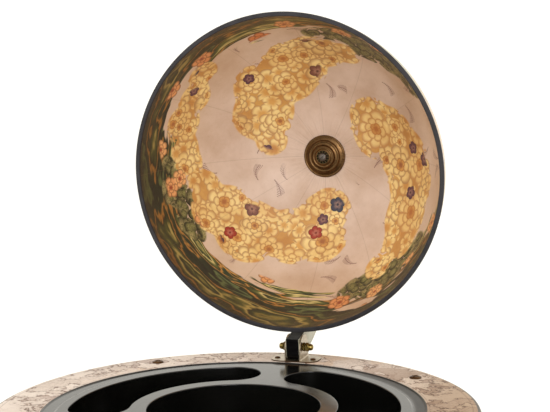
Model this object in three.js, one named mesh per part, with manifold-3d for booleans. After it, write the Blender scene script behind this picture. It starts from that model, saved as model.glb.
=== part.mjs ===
// Floor globe bar: an open hemisphere lid on a hinged wooden meridian, a moulded
// bottle tray in a horizon ring, and a four-legged stand with a shelf and casters.
// Millimetres, +Z up. The globe's upright axis is x = y = 0, the hinge is towards +Y,
// and z = 0 is the top face of the lower shelf.

import * as THREE from "three";
import { mergeVertices } from "three/addons/utils/BufferGeometryUtils.js";
import Module from "manifold-3d";

const wasm = await Module();
wasm.setup();

// Clearances
const fitGap = 0.3;
const runningGap = 0.2;
const cutOverrun = 1;
const weldDistance = 0.0001;

// Globe shells
const globeRadius = 200;
const shellWall = 2.4;
const liningWall = 1.2;
const rimBandLap = 0.7;
const rimBandHeight = 4;
const rimBandWidth = shellWall + fitGap + liningWall + rimBandLap;

// Horizon ring and its print
const ringLidGap = 9;
const ringWidth = 58;
const ringThickness = 22;
const ringEdgeRound = 3;
const ringBoreGap = 1.5;
const printThickness = 0.5;
const printInset = 1;
const ringInnerRadius = globeRadius + ringLidGap;
const ringOuterRadius = ringInnerRadius + ringWidth;

// Bottle tray
const trayWall = 2.2;
const trayFlatDrop = 0.5;
const lidSeatDepth = 1.2;
const lidSeatGap = 0.3;
const lidSeatSlope = 2.3;
const wellLipRound = 1;
const wellFloorRound = 8;
const centralWellRadius = 95;
const wellGlobeGap = 28.66;
const centralWellDraft = 5;
const wellLand = 19.5;
const wellOuterLand = 10.8;
const glassWellDepth = 62;
const glassWellDraft = 3;
const glassWellGapAngle = THREE.MathUtils.degToRad(13.5);
const sideWellSpan = THREE.MathUtils.degToRad(112);
const trayTurn = THREE.MathUtils.degToRad(0.9);
const frontWellSpan = 2 * Math.PI - 2 * sideWellSpan - 3 * glassWellGapAngle;
const sideWellPlace = (glassWellGapAngle + sideWellSpan) / 2;
const lidSeatInnerRadius = globeRadius - rimBandWidth - lidSeatGap;
const glassWellInnerRadius = centralWellRadius + wellLand;
const glassWellOuterRadius = lidSeatInnerRadius - lidSeatSlope - wellOuterLand;

// Pole fitting, inside and outside the lid
const rosetteRadius = 30;
const rosetteHeight = 10.4;
const rosetteRadiusShares = [1, 0.95, 0.75, 0.7, 0.53, 0.48, 0.35];
const rosetteHeightShares = [0.15, 0.29, 0.35, 0.58, 0.64, 0.88, 1];
const poleScrewRadius = 3;
const poleScrewHeadRadius = 5.6;
const poleScrewHeadHeight = 3.4;
const poleScrewSlotWidth = 1.35;
const poleScrewSlotDepth = 1.2;
const washerMargin = 3.4;
const washerThickness = 0.8;
const washerTeeth = 12;
const washerToothDepth = 1.8;
const poleSpacerRadius = 13;
const finialRadius = 12;
const finialHeight = 37;
const finialRadiusShares = [1, 1, 0.58, 0.42, 0.67, 0.92, 1, 0.92, 0.62, 0.3];
const finialHeightShares = [0, 0.08, 0.14, 0.24, 0.32, 0.43, 0.57, 0.7, 0.84, 0.95];
const finialThreadDepth = 12;
const poleHoleRadius = poleScrewRadius + fitGap;
const washerRadius = poleScrewHeadRadius + washerMargin;

// Lower globe and its bottom fitting
const globeFlangeThickness = 2;
const southCapRadius = 19;
const southCapHeight = 16;
const southCapRadiusShares = [0.33, 0.5, 0.8, 1];
const southCapHeightShares = [1, 0.6, 0.4, 0.2];
const southRodRise = 7;
const southNutThickness = 5;

// Nuts and screws
const hingeBoltRadius = 3;
const nutWall = 2;
const lockNutThickness = 3.2;
const capNutHexThickness = 4.6;
const capNutDomeHeight = 5.8;
const capNutDomeInset = 0.5;
const capNutNeckShare = 0.33;
const smallScrewHeadRadius = 3.6;
const smallScrewHeadHeight = 1.8;
const smallScrewRadius = 1.7;
const smallScrewLength = 14;
const smallSlotWidth = 0.9;
const smallSlotDepth = 0.8;
const headRadiusShares = [1, 1, 0.75, 0.35];
const headHeightShares = [0, 0.33, 0.8, 1];
const hexAcrossFlats = (hingeBoltRadius + nutWall) * 2;
const capNutDomeRadius = hexAcrossFlats / 2 - capNutDomeInset;

// Meridian bar
const meridianGap = 13;
const meridianDepth = 28;
const meridianWidth = 16;
const meridianPrintThickness = 0.4;
const meridianEndReach = 11.1;
const meridianEndRound = 7.5;
const meridianPoleMargin = 7;
const meridianInnerRadius = globeRadius + meridianGap;
const meridianOuterRadius = meridianInnerRadius + meridianDepth;
const meridianHalf = meridianWidth / 2 + fitGap + meridianPrintThickness;
const meridianOverreach = poleSpacerRadius + meridianPoleMargin;

// Hinge
const hingeInset = 12.4;
const hingeHeight = 17.5;
const lidOpenAngle = THREE.MathUtils.degToRad(85);
const bracketWall = 1.5;
const bracketFootMargin = 8;
const bracketFootCorner = 12;
const bracketEdgeGap = 1.4;
const bracketScrewSetout = 13.5;
const earRadius = 18;
const earSetback = 6;
const earDrop = 3;
const stopLipGap = 0.4;
const bushWall = 1;
const hingeOffset = meridianInnerRadius + hingeInset;
const meridianEndHeight = lidSeatDepth + hingeHeight - meridianEndReach;
const earInner = meridianHalf + fitGap;
const earOuter = earInner + bracketWall;
const bracketScrewPlace = earOuter + bracketScrewSetout;
const bracketFootReach = bracketScrewPlace + bracketFootMargin;

// Stand
const legLength = 508;
const legRadius = 21;
const legRingMargin = 8;
const legCount = 4;
const legRadiusShares = [1, 1, 0.71, 0.9, 0.71, 0.57, 0.81, 1, 0.9, 0.6, 0.76, 0.62, 0.76, 0.95, 0.95];
const legHeightShares = [0, 0.1, 0.112, 0.135, 0.158, 0.175, 0.3, 0.45, 0.62, 0.78, 0.8, 0.83, 0.86, 0.88, 1];
const legBoltRadius = 3;
const legBoltGrip = 39;
const legBoltHeadRadius = 7.2;
const legBoltHeadHeight = 3;
const legBoltSlotWidth = 1.4;
const legBoltSlotDepth = 1.2;
const shelfMargin = 4;
const shelfThickness = 18;
const shelfLip = 2;
const shelfEdgeRound = 5;
const shelfEdgeStep = 3;
const footHeight = 48;
const footRadius = 24;
const footRadiusShares = [0.83, 0.83, 0.54, 0.92, 1, 0.88, 0.58, 0.5];
const footHeightShares = [0, 0.14, 0.22, 0.45, 0.6, 0.78, 0.92, 1];
const hangerBoltRadius = 3;
const hangerBoltRise = 30;
const hangerBoltDrop = 12;
const legCircleRadius = ringInnerRadius + legRingMargin + legRadius;
const shelfRadius = legCircleRadius + legRadius + shelfMargin;

// Casters
const wheelRadius = 20;
const wheelWidth = 16;
const wheelEdgeRound = 3;
const wheelHubWall = 6;
const wheelDish = 2;
const casterTrail = 14;
const casterStemRadius = 4;
const casterStemLength = 24;
const socketWall = 1.2;
const socketFlangeWidth = 3.6;
const socketFlangeThickness = 1.6;
const forkWall = 2;
const forkCrownThickness = 3;
const forkCrownGap = 3;
const forkArmWall = 4;
const axleRadius = 3;
const axleHeadLip = 1.5;
const axleHeadThickness = 1.5;
// Counts of flat sides
const shellSides = 28;
const shellArcSteps = 6;
const ringSides = 40;
const wellSides = 28;
const turnedSides = 10;
const smallSides = 10;
const wheelSides = 14;
const arcSteps = 12;
const wellEndSteps = 5;
const edgeSteps = 1;
const cornerSteps = 2;
const bushBoreRadius = boreRadius(hingeBoltRadius, smallSides);
const bushRadius = bushBoreRadius + bushWall;
const socketBore = boreRadius(casterStemRadius, smallSides);
const socketRadius = socketBore + socketWall;

// Heights and radii worked out from the sizes above
const ringBottom = shelfLip + legLength;
const ringTop = ringBottom + ringThickness;
const ringBoardTop = ringTop - printThickness;
const lidRimHeight = ringTop - lidSeatDepth;
const seatFloor = lidRimHeight - fitGap;
const trayFlat = ringTop - trayFlatDrop;
const trayFlangeBottom = seatFloor - trayWall;
const lowerGlobeCentre = trayFlangeBottom - globeFlangeThickness;
const insertRadius = ringInnerRadius - fitGap;
const hingeAxisHeight = ringTop + hingeHeight;
const liningOuterRadius = globeRadius - shellWall - fitGap;
const liningInnerRadius = liningOuterRadius - liningWall;
const centralWellFoot = centralWellRadius - centralWellDraft - wellFloorRound + trayWall;
const centralWellFloor = lowerGlobeCentre + trayWall
  - onSphere(globeRadius - shellWall - wellGlobeGap, centralWellFoot);
const centralWellDepth = trayFlat - centralWellFloor;

// How high a sphere's wall stands at a reach from its axis
function onSphere(radius, reach) {
  return Math.sqrt(radius ** 2 - reach ** 2);
}

// A faceted bore's corner radius, which keeps its flats clear of a round pin that turns in it
function boreRadius(pinRadius, sides) {
  return (pinRadius + runningGap) / Math.cos(Math.PI / sides);
}

const material = (color, roughness, metalness) =>
  new THREE.MeshStandardMaterial({ color, roughness, metalness });
const blackEdge = () => material(0x1d1b1d, 0.5, 0);
const chartPaper = () => material(0xc8b09a, 0.6, 0);
const trayGloss = () => material(0x0c0c0d, 0.15, 0);
const darkWood = () => material(0x2a1b14, 0.4, 0);
const brass = () => material(0x8a6a35, 0.35, 1);
const bronze = () => material(0x6b4f2c, 0.35, 1);
const steel = () => material(0xb4b2aa, 0.3, 1);
const liningPaper = () => material(0xd9b98c, 0.5, 0);
const wheelPlastic = () => material(0x161616, 0.5, 0);

// Geometry helpers
function closedGeometry(source) {
  const bare = source.clone();
  bare.deleteAttribute("normal");
  bare.deleteAttribute("uv");
  const merged = mergeVertices(bare, weldDistance);
  const index = merged.index.array;
  const kept = [];
  for (let i = 0; i < index.length; i += 3) {
    const [a, b, c] = [index[i], index[i + 1], index[i + 2]];
    if (a !== b && b !== c && c !== a) kept.push(a, b, c);
  }
  if (signedVolume(merged, kept) < 0) kept.reverse();
  merged.setIndex(kept);
  return merged;
}

function signedVolume(geometry, index) {
  const [a, b, c] = [new THREE.Vector3(), new THREE.Vector3(), new THREE.Vector3()];
  const place = geometry.attributes.position;
  let total = 0;
  for (let i = 0; i < index.length; i += 3) {
    a.fromBufferAttribute(place, index[i]);
    b.fromBufferAttribute(place, index[i + 1]);
    c.fromBufferAttribute(place, index[i + 2]);
    total += a.dot(b.cross(c));
  }
  return total;
}

function solidOf(geometry) {
  const closed = closedGeometry(geometry);
  const mesh = new wasm.Mesh({
    numProp: 3,
    vertProperties: new Float32Array(closed.attributes.position.array),
    triVerts: new Uint32Array(closed.index.array),
  });
  return new wasm.Manifold(mesh);
}

function geometryOf(solid) {
  const mesh = solid.getMesh();
  const geometry = new THREE.BufferGeometry();
  geometry.setAttribute("position", new THREE.BufferAttribute(mesh.vertProperties, 3));
  geometry.setIndex(new THREE.BufferAttribute(mesh.triVerts, 1));
  return geometry;
}

const joined = (first, ...others) => others.reduce((sum, next) => sum.add(next), first);
const cutFrom = (solid, ...cuts) => cuts.reduce((rest, cut) => rest.subtract(cut), solid);

function turned(profile, sides) {
  const points = profile.map(([radius, height]) => new THREE.Vector2(radius, height));
  return new THREE.LatheGeometry(points, sides).rotateX(Math.PI / 2);
}

function rod(radius, low, high, sides = smallSides) {
  return turned([[0, low], [radius, low], [radius, high], [0, high]], sides);
}

function tube(innerRadius, outerRadius, low, high, sides = smallSides) {
  const profile = [[innerRadius, low], [outerRadius, low], [outerRadius, high], [innerRadius, high]];
  return turned([...profile, profile[0]], sides);
}

function hexPrism(acrossFlats, low, high) {
  return rod(acrossFlats / 2 / Math.cos(Math.PI / 6), low, high, 6);
}

function block(lowX, highX, lowY, highY, lowZ, highZ) {
  const box = new THREE.BoxGeometry(highX - lowX, highY - lowY, highZ - lowZ);
  return box.translate((lowX + highX) / 2, (lowY + highY) / 2, (lowZ + highZ) / 2);
}

function plate(outline, low, high) {
  const shape = new THREE.Shape(outline.map(([x, y]) => new THREE.Vector2(x, y)));
  const options = { depth: high - low, bevelEnabled: false };
  return new THREE.ExtrudeGeometry(shape, options).translate(0, 0, low);
}

// A plate drawn in (y, z) and thick along x
function sidePlate(outline, low, high) {
  return plate(outline, low, high).rotateX(Math.PI / 2).rotateZ(Math.PI / 2);
}

function arcPoints(centreX, centreY, radius, from, to, steps) {
  const points = [];
  for (let i = 0; i <= steps; i += 1) {
    const angle = from + ((to - from) * i) / steps;
    points.push([centreX + radius * Math.cos(angle), centreY + radius * Math.sin(angle)]);
  }
  return points;
}

// A closed solid through outlines of equal point counts, stacked at rising heights
function loft(outlines, heights) {
  const count = outlines[0].length;
  const positions = outlines.flatMap((outline, layer) => outline.flatMap(([x, y]) => [x, y, heights[layer]]));
  const cap = THREE.ShapeUtils.triangulateShape(outlines[0].map(([x, y]) => new THREE.Vector2(x, y)), []);
  const last = (outlines.length - 1) * count;
  const index = [];
  for (const [a, b, c] of cap) index.push(c, b, a, a + last, b + last, c + last);
  for (let layer = 0; layer + 1 < outlines.length; layer += 1) {
    for (let i = 0; i < count; i += 1) {
      const a = layer * count + i;
      const b = layer * count + ((i + 1) % count);
      index.push(a, b, b + count, a, b + count, a + count);
    }
  }
  const geometry = new THREE.BufferGeometry();
  geometry.setAttribute("position", new THREE.Float32BufferAttribute(positions, 3));
  geometry.setIndex(index);
  return geometry;
}

function piece(group, name, geometry, finish) {
  const mesh = new THREE.Mesh(closedGeometry(geometry), finish);
  mesh.name = name;
  group.add(mesh);
  return mesh;
}

const legAngles = Array.from({ length: legCount }, (_, i) => ((2 * i + 1) * Math.PI) / legCount);
const onLegCircle = (angle) => [legCircleRadius * Math.cos(angle), legCircleRadius * Math.sin(angle)];
const atLegs = (shape) =>
  legAngles.map((angle) => solidOf(shape.clone().translate(...onLegCircle(angle), 0)));

const alongHinge = (shape) => shape.rotateY(Math.PI / 2).translate(0, hingeOffset, hingeAxisHeight);
const bracketScrewPlaces = [-bracketScrewPlace, bracketScrewPlace];
const atBracketScrews = (shape) =>
  bracketScrewPlaces.map((x) => solidOf(shape.clone().translate(x, hingeOffset, 0)));

// Horizon ring: a board with a rebate that carries the lower globe and the tray
function addHorizonRing(group) {
  const bore = globeRadius + ringBoreGap;
  const round = (height, turn) =>
    arcPoints(ringOuterRadius - ringEdgeRound, height, ringEdgeRound, turn, turn + Math.PI / 2, edgeSteps);
  const profile = [
    [bore, ringBottom],
    ...round(ringBottom + ringEdgeRound, -Math.PI / 2),
    ...round(ringBoardTop - ringEdgeRound, 0),
    [ringInnerRadius, ringBoardTop],
    [ringInnerRadius, lowerGlobeCentre],
    [bore, lowerGlobeCentre],
  ];
  const board = solidOf(turned([...profile, profile[0]], ringSides));
  const hole = rod(legBoltRadius + fitGap, ringBottom - cutOverrun, ringTop + cutOverrun);
  const screwHole = rod(smallScrewRadius + fitGap, ringTop - smallScrewLength, ringTop + cutOverrun);
  const screwHoles = atBracketScrews(screwHole);
  piece(group, "horizon_ring", geometryOf(cutFrom(board, ...atLegs(hole), ...screwHoles)), blackEdge());
  const sheet = solidOf(tube(ringInnerRadius + printInset, ringOuterRadius - ringEdgeRound,
    ringBoardTop, ringTop, ringSides));
  piece(group, "horizon_print", geometryOf(cutFrom(sheet, ...atLegs(hole), ...screwHoles)), chartPaper());
}

function glassWellOutline(inset, span) {
  const middle = (glassWellOuterRadius + glassWellInnerRadius) / 2;
  const half = (glassWellOuterRadius - glassWellInnerRadius) / 2;
  const reach = span / 2 - Math.asin(half / middle);
  const width = half - inset;
  const end = [middle * Math.cos(reach), middle * Math.sin(reach)];
  return [
    ...arcPoints(0, 0, middle + width, -reach, reach, arcSteps),
    ...arcPoints(...end, width, reach, reach + Math.PI, wellEndSteps).slice(1),
    ...arcPoints(0, 0, middle - width, reach, -reach, arcSteps / 2).slice(1),
    ...arcPoints(end[0], -end[1], width, Math.PI - reach, 2 * Math.PI - reach, wellEndSteps).slice(1, -1),
  ];
}

// Insets and heights up a well's wall, from its rounded floor to its rolled lip; the
// outside of the wall lies deeper and wider by the wall, and ends inside the tray's flat
function wellSections(depth, draft, wall) {
  const sections = [[-wellLipRound, 0]];
  for (let i = 1; i <= edgeSteps; i += 1) {
    const turn = (i * Math.PI) / 2 / edgeSteps;
    sections.push([-wellLipRound * (1 - Math.sin(turn)), wellLipRound * (1 - Math.cos(turn))]);
  }
  sections.push([draft, depth - wellFloorRound], [draft + wellFloorRound, depth]);
  const heights = sections.map(([inset, drop]) => [inset - wall, trayFlat - drop - wall]).reverse();
  const [lipInset, lipHeight] = heights.at(-1);
  const end = wall > 0 ? lipHeight + trayWall / 2 : lipHeight + cutOverrun;
  return [...heights, [lipInset, end]];
}

function glassWell(wall, span, place) {
  const sections = wellSections(glassWellDepth, glassWellDraft, wall);
  const outlines = sections.map(([inset]) => glassWellOutline(inset, span));
  const heights = sections.map(([, height]) => height);
  return solidOf(loft(outlines, heights).rotateZ(place + trayTurn));
}

// Two long glass wells at the sides and a shorter one at the front
function glassWells(wall) {
  return [
    glassWell(wall, sideWellSpan, Math.PI / 2 - sideWellPlace),
    glassWell(wall, sideWellSpan, Math.PI / 2 + sideWellPlace),
    glassWell(wall, frontWellSpan, -Math.PI / 2),
  ];
}

function centralWell(wall) {
  const sections = wellSections(centralWellDepth, centralWellDraft, wall);
  const profile = sections.map(([inset, height]) => [centralWellRadius - inset, height]);
  return turned([[0, profile[0][1]], ...profile, [0, profile.at(-1)[1]]], wellSides);
}

// Bottle tray: one moulded sheet with a central well, glass wells and a seat for the lid
function addBottleTray(group) {
  const profile = [
    [0, trayFlat - trayWall],
    [lidSeatInnerRadius - lidSeatSlope - trayWall, trayFlat - trayWall],
    [lidSeatInnerRadius - trayWall, trayFlangeBottom],
    [insertRadius, trayFlangeBottom],
    [insertRadius, seatFloor],
    [lidSeatInnerRadius, seatFloor],
    [lidSeatInnerRadius - lidSeatSlope, trayFlat],
    [0, trayFlat],
  ];
  const outside = joined(solidOf(turned(profile, ringSides)), solidOf(centralWell(trayWall)),
    ...glassWells(trayWall));
  const tray = cutFrom(outside, solidOf(centralWell(0)), ...glassWells(0));
  piece(group, "bottle_tray", geometryOf(tray), trayGloss());
}

// A hemisphere's wall between two radii, from a low height up to the bolt hole at the
// pole; inside the rosette's radius the wall is a shallow cone, so that fittings seat on it
function coneHeight(radius, reach) {
  const share = (reach - poleHoleRadius) / (rosetteRadius - poleHoleRadius);
  return onSphere(radius, poleHoleRadius) * (1 - share) + onSphere(radius, rosetteRadius) * share;
}

function domeProfile(outerRadius, innerRadius, low) {
  const wall = (radius) => [
    ...arcPoints(0, 0, radius, Math.asin(low / radius), Math.acos(rosetteRadius / radius), shellArcSteps),
    [poleHoleRadius, onSphere(radius, poleHoleRadius)],
  ];
  const outline = [...wall(outerRadius), ...wall(innerRadius).reverse()];
  return [...outline, outline[0]];
}

// Lower globe: a flanged bowl, upside down to the lid, with a brass fitting at its pole
function addLowerGlobe(group) {
  const dome = domeProfile(globeRadius, globeRadius - shellWall, 0).slice(0, -1);
  const outline = [
    ...dome.map(([radius, height]) => [radius, lowerGlobeCentre - height]),
    [globeRadius - shellWall, trayFlangeBottom],
    [insertRadius, trayFlangeBottom],
    [insertRadius, lowerGlobeCentre],
  ];
  piece(group, "lower_globe", turned([...outline, outline[0]], ringSides), chartPaper());

  const southPole = lowerGlobeCentre - globeRadius - fitGap;
  const southInside = lowerGlobeCentre - globeRadius + shellWall + fitGap * 2;
  const cap = [
    [0, southPole - southCapHeight],
    ...southCapRadiusShares.map((share, i) => [
      southCapRadius * share, southPole - southCapHeight * southCapHeightShares[i]]),
    [southCapRadius, southPole],
    [poleScrewRadius, southPole],
    [poleScrewRadius, southInside + southRodRise],
    [0, southInside + southRodRise],
  ];
  piece(group, "south_cap", turned(cap, turnedSides * 2), brass());
  const nut = cutFrom(solidOf(hexPrism(hexAcrossFlats, southInside, southInside + southNutThickness)),
    solidOf(rod(poleScrewRadius + runningGap, southInside - cutOverrun,
      southInside + southNutThickness + cutOverrun)));
  piece(group, "south_nut", geometryOf(nut), steel());
}

// Hinge bracket: a folded steel plate with two round ears, two feet and a stop lip
function addHingeBracket(group) {
  const front = ringInnerRadius + bracketEdgeGap;
  const earMiddle = hingeOffset + earSetback;
  const back = earMiddle + earRadius;
  const corners = [
    [bracketFootReach, back, 0], [-bracketFootReach, back, Math.PI / 2],
    [-bracketFootReach, front, Math.PI], [bracketFootReach, front, 1.5 * Math.PI],
  ];
  const footOutline = corners.flatMap(([x, y, turn]) => arcPoints(
    x - Math.sign(x) * bracketFootCorner, y + (y === back ? -1 : 1) * bracketFootCorner,
    bracketFootCorner, turn, turn + Math.PI / 2, cornerSteps));
  const foot = plate(footOutline, ringTop, ringTop + bracketWall);
  const earOutline = [
    [earMiddle - earRadius, ringTop],
    [back, ringTop],
    ...arcPoints(earMiddle, hingeAxisHeight - earDrop, earRadius, 0, Math.PI, arcSteps),
  ];
  const rightEar = solidOf(sidePlate(earOutline, earInner, earOuter));
  const leftEar = solidOf(sidePlate(earOutline, -earOuter, -earInner));
  const lipTop = openMeridianUnderside(back - bracketWall) - stopLipGap;
  const lip = solidOf(block(-earOuter, earOuter, back - bracketWall, back, ringTop, lipTop));
  const boltHole = alongHinge(
    rod(hingeBoltRadius + runningGap, -earOuter - cutOverrun, earOuter + cutOverrun));
  const screwHole = rod(smallScrewRadius + fitGap, ringTop - cutOverrun, ringTop + bracketWall + cutOverrun);
  const bracket = cutFrom(joined(solidOf(foot), rightEar, leftEar, lip), solidOf(boltHole),
    ...atBracketScrews(screwHole));
  piece(group, "hinge_bracket", geometryOf(bracket), steel());
}

// Height of the open meridian's outer face over a place y behind the globe's axis
function openMeridianUnderside(y) {
  const rise = lidRimHeight - hingeAxisHeight;
  const centreY = hingeOffset - hingeOffset * Math.cos(lidOpenAngle) + rise * Math.sin(lidOpenAngle);
  const centreZ = hingeAxisHeight + hingeOffset * Math.sin(lidOpenAngle) + rise * Math.cos(lidOpenAngle);
  return centreZ - Math.sqrt(meridianOuterRadius ** 2 - (y - centreY) ** 2);
}

// A closed nut along +Z: a hexagon, a short neck and a dome over a blind thread
function capNut(start) {
  const neckStart = start + capNutHexThickness;
  const neckEnd = neckStart + capNutDomeHeight * capNutNeckShare;
  const domeRise = neckStart + capNutDomeHeight - neckEnd;
  const arch = arcPoints(0, 0, capNutDomeRadius, 0, Math.PI / 2, cornerSteps);
  const dome = turned([
    [0, start],
    [capNutDomeRadius, start],
    ...arch.map(([reach, rise]) => [reach, neckEnd + (rise / capNutDomeRadius) * domeRise]),
  ], smallSides);
  const hex = solidOf(hexPrism(hexAcrossFlats, start, neckStart));
  const thread = solidOf(rod(hingeBoltRadius + runningGap, start - cutOverrun, neckEnd));
  return geometryOf(cutFrom(joined(hex, solidOf(dome)), thread));
}

// Hinge bolt with a lock nut on the right and a cap nut on each end
function addHingeBolt(group) {
  const leftStart = earOuter + fitGap;
  const lockEnd = leftStart + lockNutThickness;
  const rightStart = lockEnd + fitGap;
  const boltReach = capNutHexThickness;
  piece(group, "hinge_bolt",
    alongHinge(rod(hingeBoltRadius, -leftStart - boltReach, rightStart + boltReach)), steel());
  const lock = cutFrom(solidOf(hexPrism(hexAcrossFlats, leftStart, lockEnd)),
    solidOf(rod(hingeBoltRadius + runningGap, leftStart - cutOverrun, lockEnd + cutOverrun)));
  piece(group, "hinge_lock_nut", alongHinge(geometryOf(lock)), brass());
  piece(group, "hinge_cap_nut_right", alongHinge(capNut(rightStart)), brass());
  piece(group, "hinge_cap_nut_left", alongHinge(capNut(leftStart).rotateX(Math.PI)), brass());
}

// A domed head over a shank, slotted once or crossed
function screw(headRadius, headHeight, shankRadius, length, slot, depth, crossed) {
  const head = turned([
    [0, -length],
    [shankRadius, -length],
    [shankRadius, 0],
    ...headRadiusShares.map((share, i) => [headRadius * share, headHeight * headHeightShares[i]]),
    [0, headHeight],
  ], smallSides);
  const cut = block(-headRadius - cutOverrun, headRadius + cutOverrun, -slot / 2, slot / 2,
    headHeight - depth, headHeight + cutOverrun);
  const cuts = crossed ? [cut, cut.clone().rotateZ(Math.PI / 2)] : [cut];
  return geometryOf(cutFrom(solidOf(head), ...cuts.map(solidOf)));
}

function addBracketScrews(group) {
  const names = ["bracket_screw_left", "bracket_screw_right"];
  bracketScrewPlaces.forEach((x, i) => {
    const shape = screw(smallScrewHeadRadius, smallScrewHeadHeight, smallScrewRadius,
      smallScrewLength, smallSlotWidth, smallSlotDepth, true);
    const mesh = piece(group, names[i], shape, brass());
    mesh.position.set(x, hingeOffset, ringTop + bracketWall);
  });
}

// Meridian bar: a flat arc from the hinge end to a flat seat at the pole, in the lid's frame
function meridianOutline() {
  const innerStart = Math.asin(meridianEndHeight / meridianInnerRadius);
  const roundCentre = [
    onSphere(meridianOuterRadius - meridianEndRound, meridianEndHeight + meridianEndRound),
    meridianEndHeight + meridianEndRound,
  ];
  const roundEnd = Math.atan2(roundCentre[1], roundCentre[0]);
  const outerEnd = Math.acos(meridianOverreach / meridianOuterRadius);
  const innerEnd = Math.acos(meridianOverreach / meridianInnerRadius);
  return [
    ...arcPoints(...roundCentre, meridianEndRound, -Math.PI / 2, roundEnd, cornerSteps),
    ...arcPoints(0, 0, meridianOuterRadius, roundEnd, outerEnd, arcSteps).slice(1),
    [-meridianOverreach, onSphere(meridianOuterRadius, meridianOverreach)],
    [-meridianOverreach, onSphere(meridianInnerRadius, meridianOverreach)],
    ...arcPoints(0, 0, meridianInnerRadius, innerEnd, innerStart, arcSteps),
  ];
}

function addMeridian(lid) {
  const hingeInLid = [hingeOffset, hingeAxisHeight - lidRimHeight];
  const outline = meridianOutline();
  const acrossHinge = (radius, low, high) =>
    rod(radius, low, high).rotateY(Math.PI / 2).translate(0, ...hingeInLid);
  const acrossBar = (radius) =>
    solidOf(acrossHinge(radius, -meridianHalf - cutOverrun, meridianHalf + cutOverrun));
  const bushHole = acrossBar(bushRadius + fitGap);
  const poleHole = solidOf(rod(poleHoleRadius, onSphere(meridianInnerRadius, meridianOverreach) - cutOverrun,
    meridianOuterRadius + cutOverrun));
  const bar = solidOf(sidePlate(outline, -meridianWidth / 2, meridianWidth / 2));
  piece(lid, "meridian_bar", geometryOf(cutFrom(bar, bushHole, poleHole)), blackEdge());
  const printStart = meridianWidth / 2 + fitGap;
  const prints = [
    ["meridian_print_left", -meridianHalf, -printStart],
    ["meridian_print_right", printStart, meridianHalf],
  ];
  for (const [name, low, high] of prints) {
    piece(lid, name, geometryOf(solidOf(sidePlate(outline, low, high)).subtract(bushHole)), chartPaper());
  }
  const bush = solidOf(acrossHinge(bushRadius, -meridianHalf, meridianHalf));
  piece(lid, "hinge_bush", geometryOf(bush.subtract(acrossBar(bushBoreRadius))), brass());
}

// Lid: printed shell, papered lining and a dark rim band, drawn with the globe's centre at 0
function addLidShells(lid) {
  const low = rimBandHeight + fitGap;
  piece(lid, "lid_shell",
    turned(domeProfile(globeRadius, globeRadius - shellWall, low), shellSides), chartPaper());
  piece(lid, "lid_lining",
    turned(domeProfile(liningOuterRadius, liningInnerRadius, low), shellSides), liningPaper());
  piece(lid, "lid_rim_band",
    tube(globeRadius - rimBandWidth, globeRadius, 0, rimBandHeight, ringSides), blackEdge());
}

const starWasher = (start) => {
  const outline = [];
  for (let i = 0; i < washerTeeth * 2; i += 1) {
    const radius = i % 2 === 0 ? washerRadius : washerRadius - washerToothDepth;
    const angle = (i * Math.PI) / washerTeeth;
    outline.push([radius * Math.cos(angle), radius * Math.sin(angle)]);
  }
  const disc = solidOf(plate(outline, start - washerThickness, start));
  const hole = solidOf(rod(poleHoleRadius, start - washerThickness - cutOverrun, start + cutOverrun));
  return geometryOf(disc.subtract(hole));
};

// Pole fitting: screw, star washer and rosette inside, a spacer and a finial outside
function addPoleFitting(lid) {
  const back = (reach) => coneHeight(liningInnerRadius, reach) - fitGap;
  const face = back(rosetteRadius);
  const rosette = [
    [poleHoleRadius, back(poleHoleRadius)],
    [rosetteRadius, face],
    ...rosetteRadiusShares.map((share, i) => [
      rosetteRadius * share, face - rosetteHeight * rosetteHeightShares[i]]),
    [poleHoleRadius, face - rosetteHeight],
  ];
  piece(lid, "rosette", turned([...rosette, rosette[0]], turnedSides * 2), bronze());
  const washerStart = face - rosetteHeight - fitGap;
  piece(lid, "star_washer", starWasher(washerStart), bronze());

  const headTop = washerStart - washerThickness - fitGap;
  const finialBase = onSphere(meridianOuterRadius, meridianOverreach) + fitGap;
  const shankEnd = finialBase + finialThreadDepth - fitGap;
  const bolt = screw(poleScrewHeadRadius, poleScrewHeadHeight, poleScrewRadius,
    shankEnd - headTop, poleScrewSlotWidth, poleScrewSlotDepth, false);
  piece(lid, "rosette_screw", bolt.rotateX(Math.PI).translate(0, 0, headTop), steel());

  const seat = (reach) => coneHeight(globeRadius, reach) + fitGap;
  const spacerTop = onSphere(meridianInnerRadius, meridianOverreach) - fitGap;
  const spacer = [
    [poleHoleRadius, seat(poleHoleRadius)],
    [poleSpacerRadius, seat(poleSpacerRadius)],
    [poleSpacerRadius, spacerTop],
    [poleHoleRadius, spacerTop],
  ];
  piece(lid, "pole_spacer", turned([...spacer, spacer[0]], turnedSides), darkWood());
  const finial = [
    [0, finialBase + finialThreadDepth],
    [poleHoleRadius, finialBase + finialThreadDepth],
    [poleHoleRadius, finialBase],
    ...finialRadiusShares.map((share, i) => [
      finialRadius * share, finialBase + finialHeight * finialHeightShares[i]]),
    [0, finialBase + finialHeight],
  ];
  piece(lid, "lid_finial", turned(finial, turnedSides), brass());
}

// The lid turns about the hinge bolt and is drawn open
function addLid(group) {
  const swing = new THREE.Group();
  swing.position.set(0, hingeOffset, hingeAxisHeight);
  swing.rotation.x = -lidOpenAngle;
  const lid = new THREE.Group();
  lid.position.set(0, -hingeOffset, lidRimHeight - hingeAxisHeight);
  swing.add(lid);
  group.add(swing);
  addLidShells(lid);
  addMeridian(lid);
  addPoleFitting(lid);
}

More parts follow.
